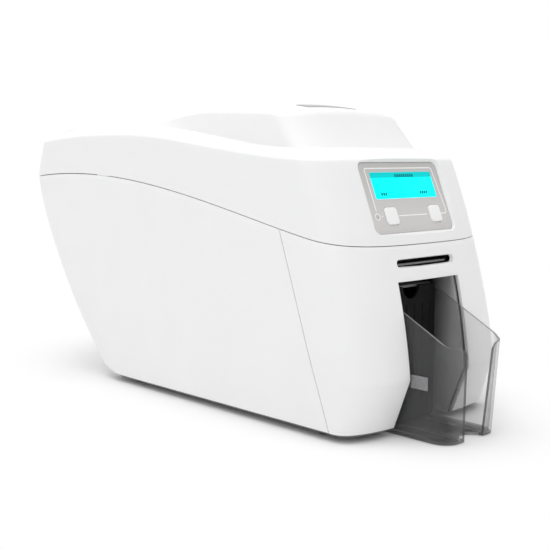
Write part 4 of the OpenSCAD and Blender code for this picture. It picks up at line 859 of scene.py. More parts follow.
class NodeKit:
    """A geometry node tree with named inputs that is baked to a mesh."""

    def __init__(self, name: str, path: bpy.types.Mesh | None = None) -> None:
        """Starts an empty tree.

        Args:
            name: name of the tree.
            path: mesh that comes in at its Path input, an empty one if None.
        """
        self.tree = bpy.data.node_groups.new(name, "GeometryNodeTree")
        self.mesh = path or bpy.data.meshes.new(name)
        self.tree.interface.new_socket("Geometry", in_out="OUTPUT", socket_type="NodeSocketGeometry")
        self.tree.interface.new_socket("Path", in_out="INPUT", socket_type="NodeSocketGeometry")
        self.inputs = self.tree.nodes.new("NodeGroupInput")
        self.path = self.inputs.outputs["Path"]
        self.output = self.tree.nodes.new("NodeGroupOutput")
        self.values: dict[str, object] = {}

    def value(self, name: str, kind: str, value: object) -> Socket:
        """Adds a named input with its value.

        Args:
            name: name of the input.
            kind: Float, Int, Vector or Material.
            value: its value.

        Returns:
            The socket to link from.
        """
        self.tree.interface.new_socket(name, in_out="INPUT", socket_type=f"NodeSocket{kind}")
        self.values[name] = value
        return self.inputs.outputs[name]

    def node(self, kind: str, links: dict[str | int, object] | None = None,
             **settings: object) -> Node:
        """Adds a node as add_node does."""
        return add_node(self.tree, kind, links, **settings)

    def bake(self, name: str, geometry: Socket, finish: Finish,
             crease: float = 32.0) -> Object:
        """Realizes the tree, sets its material and returns a plain mesh object.

        Args:
            name: name of the object.
            geometry: the tree's last geometry socket.
            finish: material of the result.
            crease: angle above which edges stay sharp.

        Returns:
            The object, at the origin.
        """
        material = self.value("Finish", "Material", finish.material())
        real = self.node("GeometryNodeRealizeInstances", {"Geometry": geometry})
        last = self.node("GeometryNodeSetMaterial", {"Geometry": real.outputs[0], "Material": material})
        self.tree.links.new(last.outputs[0], self.output.inputs[0])
        made = add_object(name, self.mesh)
        modifier = made.modifiers.new("nodes", "NODES")
        modifier.node_group = self.tree
        for item in self.tree.interface.items_tree:
            if item.in_out == "INPUT" and item.name in self.values:
                modifier[item.identifier] = self.values[item.name]
        graph = bpy.context.evaluated_depsgraph_get()
        baked = bpy.data.meshes.new_from_object(made.evaluated_get(graph), depsgraph=graph)
        made.modifiers.clear()
        made.data = baked
        if not made.data.materials:
            made.data.materials.append(finish.material())
        tidy(made, crease, merge=0.0005)
        return made


@dataclass(frozen=True)
class Repeat:
    """A small solid repeated in a row or in a ring on a body, built with Geometry Nodes.

    Sizes are in millimetres from the middle of the card slot. A box has its three sides in size; a
    drum has its radius and length in size and stands along Z. step is the way from one copy to the
    next in a row, and turn is the rotation of each copy there, in degrees.
    """

    name: str
    body: str
    finish: Finish
    at: Point
    size: Point
    count: int
    step: Point = (0.0, 0.0, 0.0)
    turn: Point = (0.0, 0.0, 0.0)
    drum: bool = False
    sides: int = 24

    def _solid(self, kit: NodeKit) -> Socket:
        """The solid that is repeated.

        Args:
            kit: the tree that gets it.

        Returns:
            The socket of its mesh.
        """
        if self.drum:
            radius = kit.value("Radius", "Float", self.size[0] * MM)
            length = kit.value("Length", "Float", self.size[1] * MM)
            made = kit.node("GeometryNodeMeshCylinder", {
                "Radius": radius, "Depth": length, "Vertices": self.sides})
            return made.outputs["Mesh"]
        size = kit.value("Size", "Vector", tuple(v * MM for v in self.size))
        return kit.node("GeometryNodeMeshCube", {"Size": size}).outputs["Mesh"]

    def _copies(self, kit: NodeKit, points: Socket, solid: Socket, rotation: object) -> None:
        """Puts the solid on the points, bakes the copies and binds them.

        Args:
            kit: the tree.
            points: where the copies go.
            solid: the solid.
            rotation: rotation of the copies, a socket or three angles.
        """
        placed = kit.node("GeometryNodeInstanceOnPoints", {
            "Points": points, "Instance": solid, "Rotation": rotation})
        bind(kit.bake(self.name, placed.outputs[0], self.finish), self.body)

    def row(self) -> None:
        """Copies in a straight row."""
        kit = NodeKit(self.name)
        solid = self._solid(kit)
        start = kit.value("Start", "Vector", tuple(to_row(self.at)))
        offset = kit.value("Step", "Vector", tuple(v * MM for v in self.step))
        count = kit.value("Count", "Int", self.count)
        line = kit.node("GeometryNodeMeshLine", {"Start Location": start, "Offset": offset, "Count": count})
        self._copies(kit, line.outputs["Mesh"], solid, tuple(math.radians(v) for v in self.turn))

    def ring(self, radius: float, axis: str = "X") -> None:
        """Copies in a ring; each turns with its place, its first side along the ring's axis.

        Args:
            radius: radius of the ring.
            axis: X, Y or Z.
        """
        kit = NodeKit(self.name)
        solid = self._solid(kit)
        count = kit.value("Count", "Int", self.count)
        reach = kit.value("Ring radius", "Float", radius * MM)
        line = kit.node("GeometryNodeMeshLine", {"Offset": (0.0, 0.0, 0.0), "Count": count})
        index = kit.node("GeometryNodeInputIndex")
        share = kit.node("ShaderNodeMath", {0: index.outputs[0], 1: count}, operation="DIVIDE")
        angle = kit.node("ShaderNodeMath", {0: share.outputs[0], 1: 2 * math.pi}, operation="MULTIPLY")
        rotation = kit.node("ShaderNodeCombineXYZ", {axis: angle.outputs[0]}).outputs[0]
        # Radial direction at angle 0: Y for a ring round X, Z round Y, X round Z
        out = {"X": (0.0, 1.0, 0.0), "Y": (0.0, 0.0, 1.0), "Z": (1.0, 0.0, 0.0)}[axis]
        arm = kit.node("ShaderNodeVectorMath", {0: out, "Scale": reach}, operation="SCALE")
        turned = kit.node("ShaderNodeVectorRotate", {"Vector": arm.outputs[0], "Rotation": rotation},
                          rotation_type="EULER_XYZ")
        centre = kit.value("Centre", "Vector", tuple(to_row(self.at)))
        spot = kit.node("ShaderNodeVectorMath", {0: turned.outputs[0], 1: centre}, operation="ADD")
        moved = kit.node("GeometryNodeSetPosition", {
            "Geometry": line.outputs["Mesh"], "Position": spot.outputs[0]})
        self._copies(kit, moved.outputs[0], solid, rotation)


# -------- pieces from the CAD


# Millimetres under which points of the CAD mesh are joined, and degrees under which its faces are
CAD_MERGE = 0.002
FLAT_ANGLE = 0.6
# Crease of turned and round pieces
ROUND = 40.0


@dataclass(frozen=True)
class Refined:
    """A CAD node with its edges broken and its curved faces smooth.

    edge is the width of the broken edges in millimetres, 0 for none. The slot name passed to bind, which
    doesn't use it, is the finish's name where slot doesn't give another.
    """

    node: str
    body: str
    finish: Finish
    edge: float = 0.25
    crease: float = 30.0
    slot: str = ""

    def build(self, nodes: Nodes) -> Object:
        """Makes the piece from a copy of the node's mesh and binds it.

        Args:
            nodes: the CAD nodes by name.

        Returns:
            The dressed piece.
        """
        made = add_object(f"{self.node}_piece", nodes[self.node].data.copy())
        made.data.materials.clear()
        made.data.materials.append(self.finish.material())
        work = bmesh.new()
        work.from_mesh(made.data)
        bmesh.ops.remove_doubles(work, verts=work.verts, dist=CAD_MERGE * MM)
        bmesh.ops.dissolve_degenerate(work, edges=work.edges, dist=CAD_MERGE * MM)
        flat = math.radians(FLAT_ANGLE)
        bmesh.ops.dissolve_limit(work, angle_limit=flat, verts=work.verts, edges=work.edges)
        for face in work.faces:
            face.material_index = 0
        work.to_mesh(made.data)
        work.free()
        if self.edge:
            bevel(made, self.edge, angle=35.0)
        tidy(made, self.crease, merge=0.0005)
        bind(made, self.body, self.slot or self.finish.name, self.node)
        return made


@dataclass
class Dressed:
    """A sub-assembly that dresses CAD nodes."""

    nodes: Nodes

    def refine(self, *values: object, slot: str = "") -> Object:
        """Dresses a CAD node.

        Args:
            values: the first fields of its Refined.
            slot: its slot, if it isn't named as the finish.

        Returns:
            The dressed piece.
        """
        return Refined(*values, slot=slot).build(self.nodes)


def bind(piece: Object, body: str, slot: str = "", *nodes: str) -> None:
    """Lets a piece ride on a body.

    Args:
        piece: the piece.
        body: name of the body.
        slot: name of its finish slot, if it has one; not used.
        nodes: the CAD nodes that it stands for.
    """
    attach(piece, body)
    if nodes:
        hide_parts(*nodes)
    LOG.info("%s on %s, %d faces", piece.name, body, len(piece.data.polygons))


def compress(piece: Object, travel: float) -> None:
    """Gives the spring its own copy of its mesh.

    Args:
        piece: the spring, which stands along Z.
        travel: way of the joint in millimetres; not used.
    """
    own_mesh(piece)


def shell(name: str, outer: Sequence[Row], inner: Sequence[Row], finish: Finish,
          edge: float) -> Object:
    """Closed shell from rows of its outer and inner faces.

    Args:
        name: name of the object.
        outer: rows of the outer face, from the lower to the upper edge.
        inner: rows of the inner face, as long as the outer ones.
        finish: its finish.
        edge: width of the broken edges in millimetres.

    Returns:
        The closed solid.
    """
    draft = Draft()
    index = draft.rows([list(a) + list(reversed(b)) for a, b in zip(outer, inner)], True)
    count = len(index[0])
    for loop in (index[0], index[-1]):
        for j in range(count // 2 - 1):
            draft.faces.append((loop[j], loop[j + 1], loop[count - 2 - j], loop[count - 1 - j]))
    made = draft.piece(name, finish)
    if edge:
        bevel(made, edge, angle=50.0)
    return made


# -------- covers


# Angle above which a cover's edges stay sharp, and width of its broken edges
COVER_CREASE = 34.0
COVER_EDGE = 0.35
# Width of the broken edges of its cuts, and angle above which they are broken
CUT_EDGE = 0.3
CUT_ANGLE = 65.0


def edge_rows(count: int) -> list[float]:
    """Shares of a cover's height, closer together at its lower edge."""
    return [0, 0.008, 0.02, *steps(0.04, 1, count)]


def centred(row: Iterable[Point], side: int = 1) -> Row:
    """Moves points from the middle of the case to that of the card path; side -1 mirrors them."""
    return [(side * x + SHIFT_X, y, z) for x, y, z in row]


@dataclass(frozen=True)
class Groove:
    """The groove across the back for the lid's swing, and the room round the hinge knuckles."""

    y: float = 392.6
    z: float = 169.873
    opening: float = 100.0
    reach: float = 10.0
    knuckle_r: float = 3.4
    middle: float = 24.0
    half_len: float = 17.3
    slack: float = 2.0
    wedge_half: float = 170.0

    def cutters(self, knuckles: bool) -> list[Object]:
        """Solids to cut from a cover.

        Args:
            knuckles: True adds the room round the knuckles.

        Returns:
            The cutting solids.
        """
        rise = self.reach * math.tan(math.radians(self.opening / 2 + self.slack))
        wedge = [(self.y, self.z), (self.y + self.reach, self.z - rise), (self.y + self.reach, self.z + rise)]
        made = [prism("groove", [(wedge, -self.wedge_half), (wedge, self.wedge_half)],
                      lambda a, b, x: (x, a, b))]
        if knuckles:
            for side in (-1, 1):
                low = side * self.middle - self.half_len
                drum = [(low, self.knuckle_r), (low + 2 * self.half_len, self.knuckle_r)]
                made.append(lathe("knuckle_room", drum, (self.y, self.z), Shades.COVER))
        return made


@dataclass(frozen=True)
class Panel:
    """Place of the control panel in the lid; x, h up the panel and n out of it."""

    y: float = 6.9
    z: float = 137.4
    lean: float = 21.8
    width: float = 85.2
    height: float = 51.25
    corner: float = 5.0

    def at(self, x: float, h: float, n: float) -> Point:
        """Point in millimetres from the middle of the card slot."""
        t = math.radians(90 - self.lean)
        return x, self.y + h * math.cos(t) - n * math.sin(t), self.z + h * math.sin(t) + n * math.cos(t)

    def outline(self, grow: float) -> list[Flat]:
        """Outline of the panel, larger by grow all round."""
        return [(x, y + self.height / 2) for x, y in
                rounded(self.width + 2 * grow, self.height + 2 * grow, self.corner + grow)]

    def plate(self, name: str, x: float, h: float, width: float, height: float, corner: float,
              low: float, high: float, finish: Finish, edge: float = 0.0) -> Object:
        """Rounded plate on the panel.

        Args:
            name: name of the object.
            x: middle across the panel.
            h: middle up the panel.
            width: width of the plate.
            height: height of the plate.
            corner: radius of its corners.
            low: its lower face above the panel.
            high: its upper face above the panel.
            finish: its finish.
            edge: chamfer of its upper edge.

        Returns:
            The closed solid.
        """
        def shape(d: float) -> list[Flat]:
            """The plate's outline set in by d."""
            return rounded(width - 2 * d, height - 2 * d, max(0.05, corner - d), 5)

        layers = [(shape(0), low), (shape(0), high - edge)]
        if edge:
            layers += [(shape(edge * 0.3), high - edge * 0.3), (shape(edge), high)]
        return prism(name, layers, lambda a, b, c: self.at(x + a, h + b, c), finish)


PANEL = Panel()


@dataclass
class LidShell:
    """The moulded lid with shoulder, hood and the opening for the panel."""

    form: CaseForm = FORM
    brow_wall: float = 6.0
    flank_rows: int = 16
    roof_rows: int = 11
    clearance: float = 0.2
    flare: float = 0.8
    lip: float = 0.1
    cut_depth: float = 15.0
    cut_out: float = 25.0
    cut_top: float = 26.0

    def outer(self) -> list[Row]:
        """Rings of the outer face, from the seam to the ridge."""
        f, low, r = self.form, self.form.seam_gap / 2, self.form.shoulder_r
        rings = [f.ring(lambda i, v=v: f.flank(i, v, 0, 0, low, r)) for v in steps(0, 1, self.flank_rows)]
        for a in steps(0, 90, 5)[1:]:
            t = math.radians(a)
            d, h = r * (1 - math.cos(t)), r * (1 - math.sin(t))
            rings.append(f.ring(lambda i, d=d, h=h: f.flank(i, 1, d, d, low, h)))
        edge, foot = rings[-1], f.ring(lambda i: f.hood_point(i, 0, 0, 0))
        for t in (0.35, 0.7, 0.95, 1.0):
            rings.append([tuple(Vector(a).lerp(Vector(b), t)) for a, b in zip(edge, foot)])
        for t in (0.04, 0.2, 0.4, 0.6, 0.76):
            rings.append(f.ring(lambda i, t=t: f.hood_point(i, t, 0, t * 0.98)))
        side, corner, top = (f.ring(g) for g in (
            lambda i: f.hood_point(i, 0.88, 0, 0.86), lambda i: f.hood_point(i, 1, 0, 1),
            lambda i: f.roof_point(i, 0.93, 0)))
        for t in steps(0, 1, 6):
            rings.append([tuple(Vector(a).lerp(Vector(b), t).lerp(Vector(b).lerp(Vector(c), t), t))
                          for a, b, c in zip(side, corner, top)])
        rings += [f.ring(lambda i, s=s: f.roof_point(i, s, 0)) for s in steps(0.93, 0, self.roof_rows)[1:]]
        return rings

    def inner(self) -> list[Row]:
        """Rings of the inner face, from the ridge to the seam."""
        f, low, w = self.form, self.form.seam_gap / 2, self.form.wall
        rings = [f.ring(lambda i, s=s: f.roof_point(i, s, w)) for s in steps(0, 1, 7)[:-1]]
        rings += [f.ring(lambda i, t=t: f.hood_point(i, t, w, t)) for t in (1, 0.6, 0.3, 0)]
        rings += [f.ring(lambda i, v=v: f.flank(i, v, w, self.brow_wall, low, w)) for v in steps(1, 0, 8)]
        return rings

    def build(self) -> None:
        """Builds the lid and binds it."""
        draft = Draft()
        outside = draft.rows(self.outer(), True)
        inside = draft.rows(self.inner(), True)
        draft.strip(inside[-1], outside[0], True)
        made = draft.piece("lid_shell", Shades.COVER)
        hole = PANEL.outline(self.clearance)
        wide = PANEL.outline(self.clearance + self.flare + self.cut_out)
        near = PANEL.outline(self.clearance + self.flare)
        layers = [(hole, -self.cut_depth), (hole, self.lip), (near, self.lip + self.flare),
                  (wide, self.cut_top)]
        opening = prism("panel_opening", layers, PANEL.at)
        combine(made, [opening, *Groove().cutters(True)], "DIFFERENCE")
        tidy(made, COVER_CREASE)
        bind(made, "lid_assembly", "cover_white", "lid")


@dataclass
class FrontShell:
    """The front cover with the card slot and the hopper's opening."""

    form: CaseForm = FORM
    cheek_steps: int = 12
    slot_w: float = 60.0
    slot_h: float = 4.8
    slot_z: float = 117.6
    slot_flare: float = 0.7
    bay_half: float = 32.75
    bay_top: float = 105.7
    bay_front: float = -44.0
    gate_y: float = 11.0
    soften: float = 1.3
    upper_share: float = 0.4

    def heights(self) -> list[float]:
        """Shares of the height: 0 to 1 up to the crease, 1 to 2 up to the seam."""
        near = [self.soften * k / (self.form.toe_z - self.form.shell_z) for k in (2, 1, 0.5)]
        above = [1 + k * self.upper_share for k in reversed(near)]
        return [0, 0.02, 0.3, 0.6, *(1 - k for k in near), 1.0, *above, *steps(1.1, 2, 20)]

    def front(self, z: float) -> float:
        """Front at height z, with the crease softened."""
        d = self.soften
        f = self.form.front_y
        return f(z) if abs(z - self.form.toe_z) > 2 * d else (f(z - d) + f(z) + f(z + d)) / 3

    def point(self, i: int, v: float, d: float) -> Point:
        """Point of the cover's right half.

        Args:
            i: column, from the front middle to the seam.
            v: share of the height as heights gives it.
            d: how far it is set in.

        Returns:
            The point.
        """
        f = self.form
        columns = f.front_steps

        def place(z: float) -> Flat:
            """X and y of the column at height z."""
            if i <= columns:
                a = 90.0 * i / columns
                deep = f.corner_y(a, f.corner_depth(z) - d)
                return f.corner_x(a, f.half_w(z) - d), self.front(z) + d + deep
            t = (i - columns) / self.cheek_steps
            return f.half_w(z) - d, mix(self.front(z) + f.corner_depth(z), f.cheek_y(z) - f.seam_gap / 2, t)

        def height(y: float) -> float:
            """Height of the row at y."""
            if v < 1:
                return mix(f.shell_z, f.toe_z, v)
            return mix(f.toe_z, f.seam_z(y) - f.seam_gap / 2, v - 1)

        return f.settle(place, height)

    def row(self, v: float, d: float) -> Row:
        """Row from the left seam round the front to the right seam."""
        last = self.form.front_steps + self.cheek_steps
        half = [self.point(i, v, d) for i in range(last + 1)]
        return centred([(-x, y, z) for x, y, z in reversed(half[1:])] + half)

    def build(self) -> None:
        """Builds the front cover and binds it."""
        rows = self.heights()
        made = shell("front_shell", [self.row(v, 0) for v in rows],
                     [self.row(v, self.form.wall) for v in rows], Shades.COVER, COVER_EDGE)
        bay = block("bay", (-self.bay_half, self.bay_front, -1.0), (self.bay_half, self.gate_y, self.bay_top))

        def stadium(grow: float) -> list[Flat]:
            """The slot's outline, larger by grow all round."""
            return rounded(self.slot_w + 2 * grow, self.slot_h + 2 * grow, self.slot_h / 2 + grow, 10)

        slot = prism("slot", [(stadium(0), 10.0), (stadium(0), 0.5), (stadium(self.slot_flare), -0.5),
                              (stadium(self.slot_flare), -10.0)],
                     lambda a, b, y: (a, y, self.slot_z + b))
        combine(made, [bay, slot], "DIFFERENCE")
        bevel(made, CUT_EDGE, CUT_ANGLE)
        tidy(made, COVER_CREASE)
        bind(made, "case", "cover_white", "front_cover")


@dataclass
class SidePanels:
    """The two side panels, which reach round the rear corners."""

    form: CaseForm = FORM
    columns: int = 36
    tail_columns: int = 12
    rows: int = 34
    # The dark strip in the front seam, painted shade: its depths, bite, steps and ends
    shade_strip_depths: Flat = (0.45, 2.2)
    shade_strip_bite: float = 0.12
    shade_strip_steps: int = 24
    shade_strip_ends: Flat = (0.5, 1.5)

    def point(self, i: int, v: float, d: float) -> Point:
        """Point of the right panel.

        Args:
            i: column, from the front seam round to the rear one.
            v: share of the height.
            d: how far it is set in.

        Returns:
            The point.
        """
        f = self.form

        def place(z: float) -> Flat:
            """X and y of the column at height z."""
            half = f.half_w(z) - d
            if i <= self.columns:
                return half, mix(f.cheek_y(z) + f.seam_gap / 2, f.rear_y(z) - f.rear_corner, i / self.columns)
            share = ((f.rear_cover_half + f.seam_gap / 2) / half) ** (f.power / 2)
            a = mix(90, math.degrees(math.asin(share)), (i - self.columns) / self.tail_columns)
            return f.corner_x(a, half), f.rear_y(z) - d - f.corner_y(a, f.rear_corner - d)

        return f.settle(place, lambda y: mix(f.shell_z, f.seam_z(y) - f.seam_gap / 2, v))

    def build(self) -> None:
        """Builds both panels and binds them."""
        last = self.columns + self.tail_columns
        heights = edge_rows(self.rows)
        for side, name in ((-1, "left_side_panel"), (1, "right_side_panel")):
            rows = [[centred((self.point(i, v, d) for i in range(last + 1)), side) for v in heights]
                    for d in (0, self.form.wall)]
            panel = shell(f"{name}_shell", rows[0], rows[1], Shades.COVER, COVER_EDGE)
            combine(panel, Groove().cutters(False), "DIFFERENCE")
            tidy(panel, COVER_CREASE)
            bind(panel, "case", "cover_white", name)
            # A dark strip in the front seam as painted shade
            self.shade_strip(side)

    def shade_strip(self, side: int) -> None:
        """Builds a dark strip in the seam between a panel and the front cover: painted shade in the gap.

        Args:
            side: 1 for the right panel, -1 for the left one.
        """
        f = self.form
        rows: list[list[Row]] = [[], []]
        reach = f.seam_gap / 2 + self.shade_strip_bite
        for row, inset in zip(rows, self.shade_strip_depths):
            low, high = f.shell_z + self.shade_strip_ends[0], f.seam_z(f.cheek_top_y) - self.shade_strip_ends[1]
            for z in steps(low, high, self.shade_strip_steps):
                x, y = f.half_w(z) - inset, f.cheek_y(z)
                row.append(centred([(x, y - reach, z), (x, y + reach, z)], side))
        bind(shell(f"seam_shade_strip_{side + 1}", rows[0], rows[1], Shades.BED, 0.0), "case")


@dataclass
class RearShell:
    """The rear cover with vents, security slot and the recess for the sockets."""

    form: CaseForm = FORM
    columns: int = 24
    rows: int = 40
    recess_half: float = 33.0
    recess_z: float = 93.0
    recess_h: float = 20.0
    recess_y: float = 353.0
    recess_t: float = 2.0
    vents: int = 6
    vent_w: float = 44.0
    vent_h: float = 2.4
    vent_z: float = 20.0
    vent_pitch: float = 6.0
    vent_front: float = 276.0
    lock_size: Flat = (7.0, 4.4)
    lock_corner: float = 1.2
    lock_at: Flat = (-48.0, 128.0)
    fit: float = 0.3
    # Middle along X, width, lower and upper edge of the switch and the sockets
    ports: tuple[tuple[float, float, float, float], ...] = (
        (-24, 13, 94.5, 111.5), (-8, 12, 90.6, 103.6), (8, 12, 90.6, 102.6), (24, 16, 90.6, 105.1))

    def point(self, i: int, v: float, d: float) -> Point:
        """Point of the cover.

        Args:
            i: column, from the middle to both sides.
            v: share of the height.
            d: how far it is set in.

        Returns:
            The point.
        """
        f = self.form
        x = (f.rear_cover_half - f.seam_gap / 2) * i / self.columns

        def place(z: float) -> Flat:
            """X and y of the column at height z."""
            half = f.half_w(z) - d
            fall = 1 - (1 - (abs(x) / half) ** f.power) ** (1 / f.power)
            return x, f.rear_y(z) - d - (f.rear_corner - d) * fall

        return f.settle(place, lambda y: mix(f.shell_z, f.seam_z(y) - f.seam_gap / 2, v))

    def holes(self) -> list[Object]:
        """Cuts for the switch and the three sockets in the recess's back wall."""
        return [block("hole", (x - w / 2 - self.fit, self.recess_y - 3, low - self.fit),
                      (x + w / 2 + self.fit, self.recess_y + 1, high + self.fit))
                for x, w, low, high in self.ports]

    def recess(self) -> None:
        """Builds the tub of the recess, from its back wall to just under the cover's face."""
        f, t = self.form, self.recess_t
        low, high, back = self.recess_z - t, self.recess_z + self.recess_h + t, self.recess_y - t
        side = [(back, low), (f.rear_y(low) - 1, low), (f.rear_y(high) - 1, high), (back, high)]
        half = self.recess_half + t
        made = prism("recess_tub", [(side, -half), (side, half)], lambda a, b, x: (x, a, b))
        room = block("room", (-self.recess_half, self.recess_y, self.recess_z),
                     (self.recess_half, f.depth + 5, self.recess_z + self.recess_h))
        combine(made, [room, *self.holes()], "DIFFERENCE")
        tidy(made, COVER_CREASE)
        bind(made, "case", "cover_white")

    def build(self) -> None:
        """Builds the rear cover and binds it."""
        f = self.form
        heights = edge_rows(self.rows)
        across = range(self.columns, -self.columns - 1, -1)
        rows = [[centred(self.point(i, v, d) for i in across) for v in heights] for d in (0, f.wall)]
        made = shell("rear_shell", rows[0], rows[1], Shades.COVER, COVER_EDGE)
        cuts = [block("window", (-self.recess_half, self.recess_y - 5, self.recess_z),
                      (self.recess_half, f.depth + 5, self.recess_z + self.recess_h))]
        for k in range(self.vents):
            z = self.vent_z + k * self.vent_pitch
            ends = rounded(self.vent_w, self.vent_h, self.vent_h / 2 - 0.01, 6)
            cuts.append(prism("vent", [(ends, self.vent_front), (ends, self.recess_y)],
                              lambda a, b, y, z=z: (a, y, z + self.vent_h / 2 + b)))
        lock = rounded(*self.lock_size, self.lock_corner, 6)
        cuts.append(prism("lock", [(lock, self.recess_y), (lock, f.depth + 0.5)],
                          lambda a, b, y: (a + self.lock_at[0], y, self.lock_at[1] + b)))
        combine(made, cuts + Groove().cutters(True), "DIFFERENCE")
        bevel(made, CUT_EDGE, CUT_ANGLE)
        tidy(made, COVER_CREASE)
        self.recess()
        bind(made, "case", "cover_white", "rear_cover")


# -------- control panel and badge


@dataclass
class ControlPanel:
    """Bezel, lit display, printed loop, keys and lamp."""

    window_x: float = 0.7
    window_h: float = 34.35
    window_size: Flat = (67.1, 19.3)
    window_corner: float = 1.0
    bezel_t: float = 2.5
    bezel_edge: float = 0.35
    cut: Flat = (-5.0, 3.0)
    glass: Flat = (-1.5, -0.3)
    glass_edge: float = 0.15
    # The band's middle under the window's top, inset, height, corner, lower and upper face
    band: tuple[float, ...] = (2.1, 0.4, 3.8, 0.6, -0.32, -0.25)
    # Name, middle along X, drop from the window's top and number of the blank segments in a row
    segment_rows: tuple[tuple[str, float, float, int], ...] = (
        ("status_segments", 3.7, 2.6, 9), ("left_segments", -23.0, 15.8, 3),
        ("right_segments", 20.5, 15.4, 4))
    segment_n: float = -0.2
    segment_t: float = 0.06
    key_h: float = 12.3
    keys: tuple[tuple[str, float], ...] = (("left", -22.1), ("right", 25.9))
    key_size: float = 12.4
    fit: float = 0.25
    segment: Flat = (1.5, 2.2)
    segment_step: float = 2.3
    line_flatness: float = 0.12
    lamp_x: float = -36.6
    ring_r: float = 2.3
    # Inset and height of the key's top, from its wall to its crown
    dome: tuple[Flat, ...] = (
        (0.0, -2.6), (0.0, 0.35), (0.12, 0.65), (0.4, 0.86), (0.9, 0.98), (2.2, 1.07), (4.2, 1.12),
        (6.0, 1.13))
    key_corner: float = 2.6
    # How much wider and lower than the key its collar is, and the collar's lower and upper face
    collar: Flat = (3.0, -1.5)
    collar_n: Flat = (-3.6, -2.3)
    # Radius and height of the lens, from its foot to its middle
    lens: tuple[Flat, ...] = (
        (1.5, -2.0), (1.5, -0.1), (1.4, 0.1), (1.1, 0.22), (0.6, 0.29), (0.05, 0.3))
    lens_crease: float = 50.0
    ring_line: float = 0.6
    # The dot's place from the lamp, width, height, corner, lower and upper face
    dot: tuple[float, ...] = (4.8, 0.2, 1.1, 1.1, 0.54, -0.05, 0.03)
    crease: float = 36.0
    loop: tuple[Flat, ...] = (
        (-36.4, 16.3), (-36.8, 45.4), (-36.4, 46.5), (-35.3, 46.9), (35.0, 46.9), (36.1, 46.5),
        (36.6, 45.4), (39.9, 15.0), (39.5, 13.0), (38.2, 12.2), (32.4, 12.1))
    tie: tuple[Flat, ...] = ((-14.5, 12.2), (16.6, 12.2))

    def bezel(self) -> None:
        """The silver plate with its window and the holes for the keys."""
        # The bezel's finish darkens towards the top as a painted shadow
        plate = PANEL.plate("bezel_plate", 0.0, PANEL.height / 2, PANEL.width, PANEL.height, PANEL.corner,
                            -self.bezel_t, 0.0, Shades.BEZEL, self.bezel_edge)
        room = self.key_size + 2 * self.fit
        holes = [(self.window_x, self.window_h, *self.window_size, self.window_corner)]
        holes += [(x, self.key_h, room, room, self.key_corner + self.fit) for _, x in self.keys]
        cuts = [PANEL.plate("cut", *hole, *self.cut, Shades.CHIP) for hole in holes]
        combine(plate, cuts, "DIFFERENCE")
        tidy(plate, self.crease)
        bind(plate, "lid_assembly", "bezel_silver", "display_bezel")

    def display(self) -> None:
        """The glass, its darker status band and groups of blank segments."""
        width, height = self.window_size
        glass = PANEL.plate("display_glass", self.window_x, self.window_h, width, height,
                            self.window_corner, *self.glass, Shades.DISPLAY, self.glass_edge)
        bind(glass, "lid_assembly", "display_glass", "display_window")
        top = self.window_h + height / 2
        drop, inset, *rest = self.band
        band = PANEL.plate("display_band", self.window_x, top - drop, width - inset, *rest,
                           Shades.DISPLAY_BAND)
        bind(band, "lid_assembly", "display_glass")
        for name, x, fall, count in self.segment_rows:
            first = PANEL.at(x - self.segment_step * (count - 1) / 2, top - fall, self.segment_n)
            Repeat(name, "lid_assembly", Shades.PIXEL, first, (*self.segment, self.segment_t), count,
                   (self.segment_step, 0.0, 0.0), (90 - PANEL.lean, 0.0, 0.0)).row()

    def line(self, name: str, path: Sequence[Flat], closed: bool, width: float = 0.75) -> None:
        """A thin printed line on the bezel, swept along its path with Geometry Nodes.

        Args:
            name: name of the line.
            path: its corners on the panel.
            closed: True joins the end to the start.
            width: width in millimetres.
        """
        points = list(path) + ([path[0]] if closed else [])
        fine: list[Vector] = []
        for a, b in zip(points, points[1:]):
            for t in steps(0, 1, 8)[:-1]:
                fine.append(to_row(PANEL.at(mix(a[0], b[0], t), mix(a[1], b[1], t), 0.0)))
        fine.append(to_row(PANEL.at(*points[-1], 0.0)))
        mesh = bpy.data.meshes.new(name)
        mesh.from_pydata(fine, [(k, k + 1) for k in range(len(fine) - 1)], [])
        kit = NodeKit(name, mesh)
        curve = kit.node("GeometryNodeMeshToCurve", {"Mesh": kit.path}).outputs[0]
        radius = kit.value("Line radius", "Float", width / 2 * MM)
        circle = kit.node("GeometryNodeCurvePrimitiveCircle", {"Radius": radius, "Resolution": 8},
                          mode="RADIUS")
        swept = kit.node("GeometryNodeCurveToMesh", {
            "Curve": curve, "Profile Curve": circle.outputs[0], "Fill Caps": True})
        # The line is laid level at the origin, pressed flat and put back on the panel
        middle = tuple(to_row(PANEL.at(0, 0, 0)))
        tilt = math.radians(90 - PANEL.lean)
        back = swept
        for move in ({"Translation": tuple(-v for v in middle)}, {"Rotation": (-tilt, 0.0, 0.0)},
                     {"Scale": (1.0, 1.0, self.line_flatness)},
                     {"Rotation": (tilt, 0.0, 0.0), "Translation": middle}):
            back = kit.node("GeometryNodeTransform", {"Geometry": back.outputs[0], **move})
        bind(kit.bake(name, back.outputs[0], Shades.PRINT), "lid_assembly")

    def key(self, side: str, x: float) -> None:
        """Builds a domed key with its collar under the bezel.

        Args:
            side: left or right.
            x: middle of the key across the panel.
        """
        size = self.key_size
        collar = rounded(size + self.collar[0], size + self.collar[1], self.key_corner, 5)
        crown = [(rounded(size - 2 * d, size - 2 * d, max(0.1, self.key_corner - d), 7), h)
                 for d, h in self.dome]

        def place(a: float, b: float, c: float) -> Point:
            """Point round the key's middle."""
            return PANEL.at(x + a, self.key_h + b, c)

        base = prism(f"{side}_collar", [(collar, n) for n in self.collar_n], place, Shades.KEY)
        cap = prism(f"{side}_cap", crown, place, Shades.KEY, ROUND)
        combine(cap, [base], "UNION")
        tidy(cap, self.crease)
        cap.name = f"{side}_key_cap"
        bind(cap, f"{side}_key", "key_white", f"{side}_button")

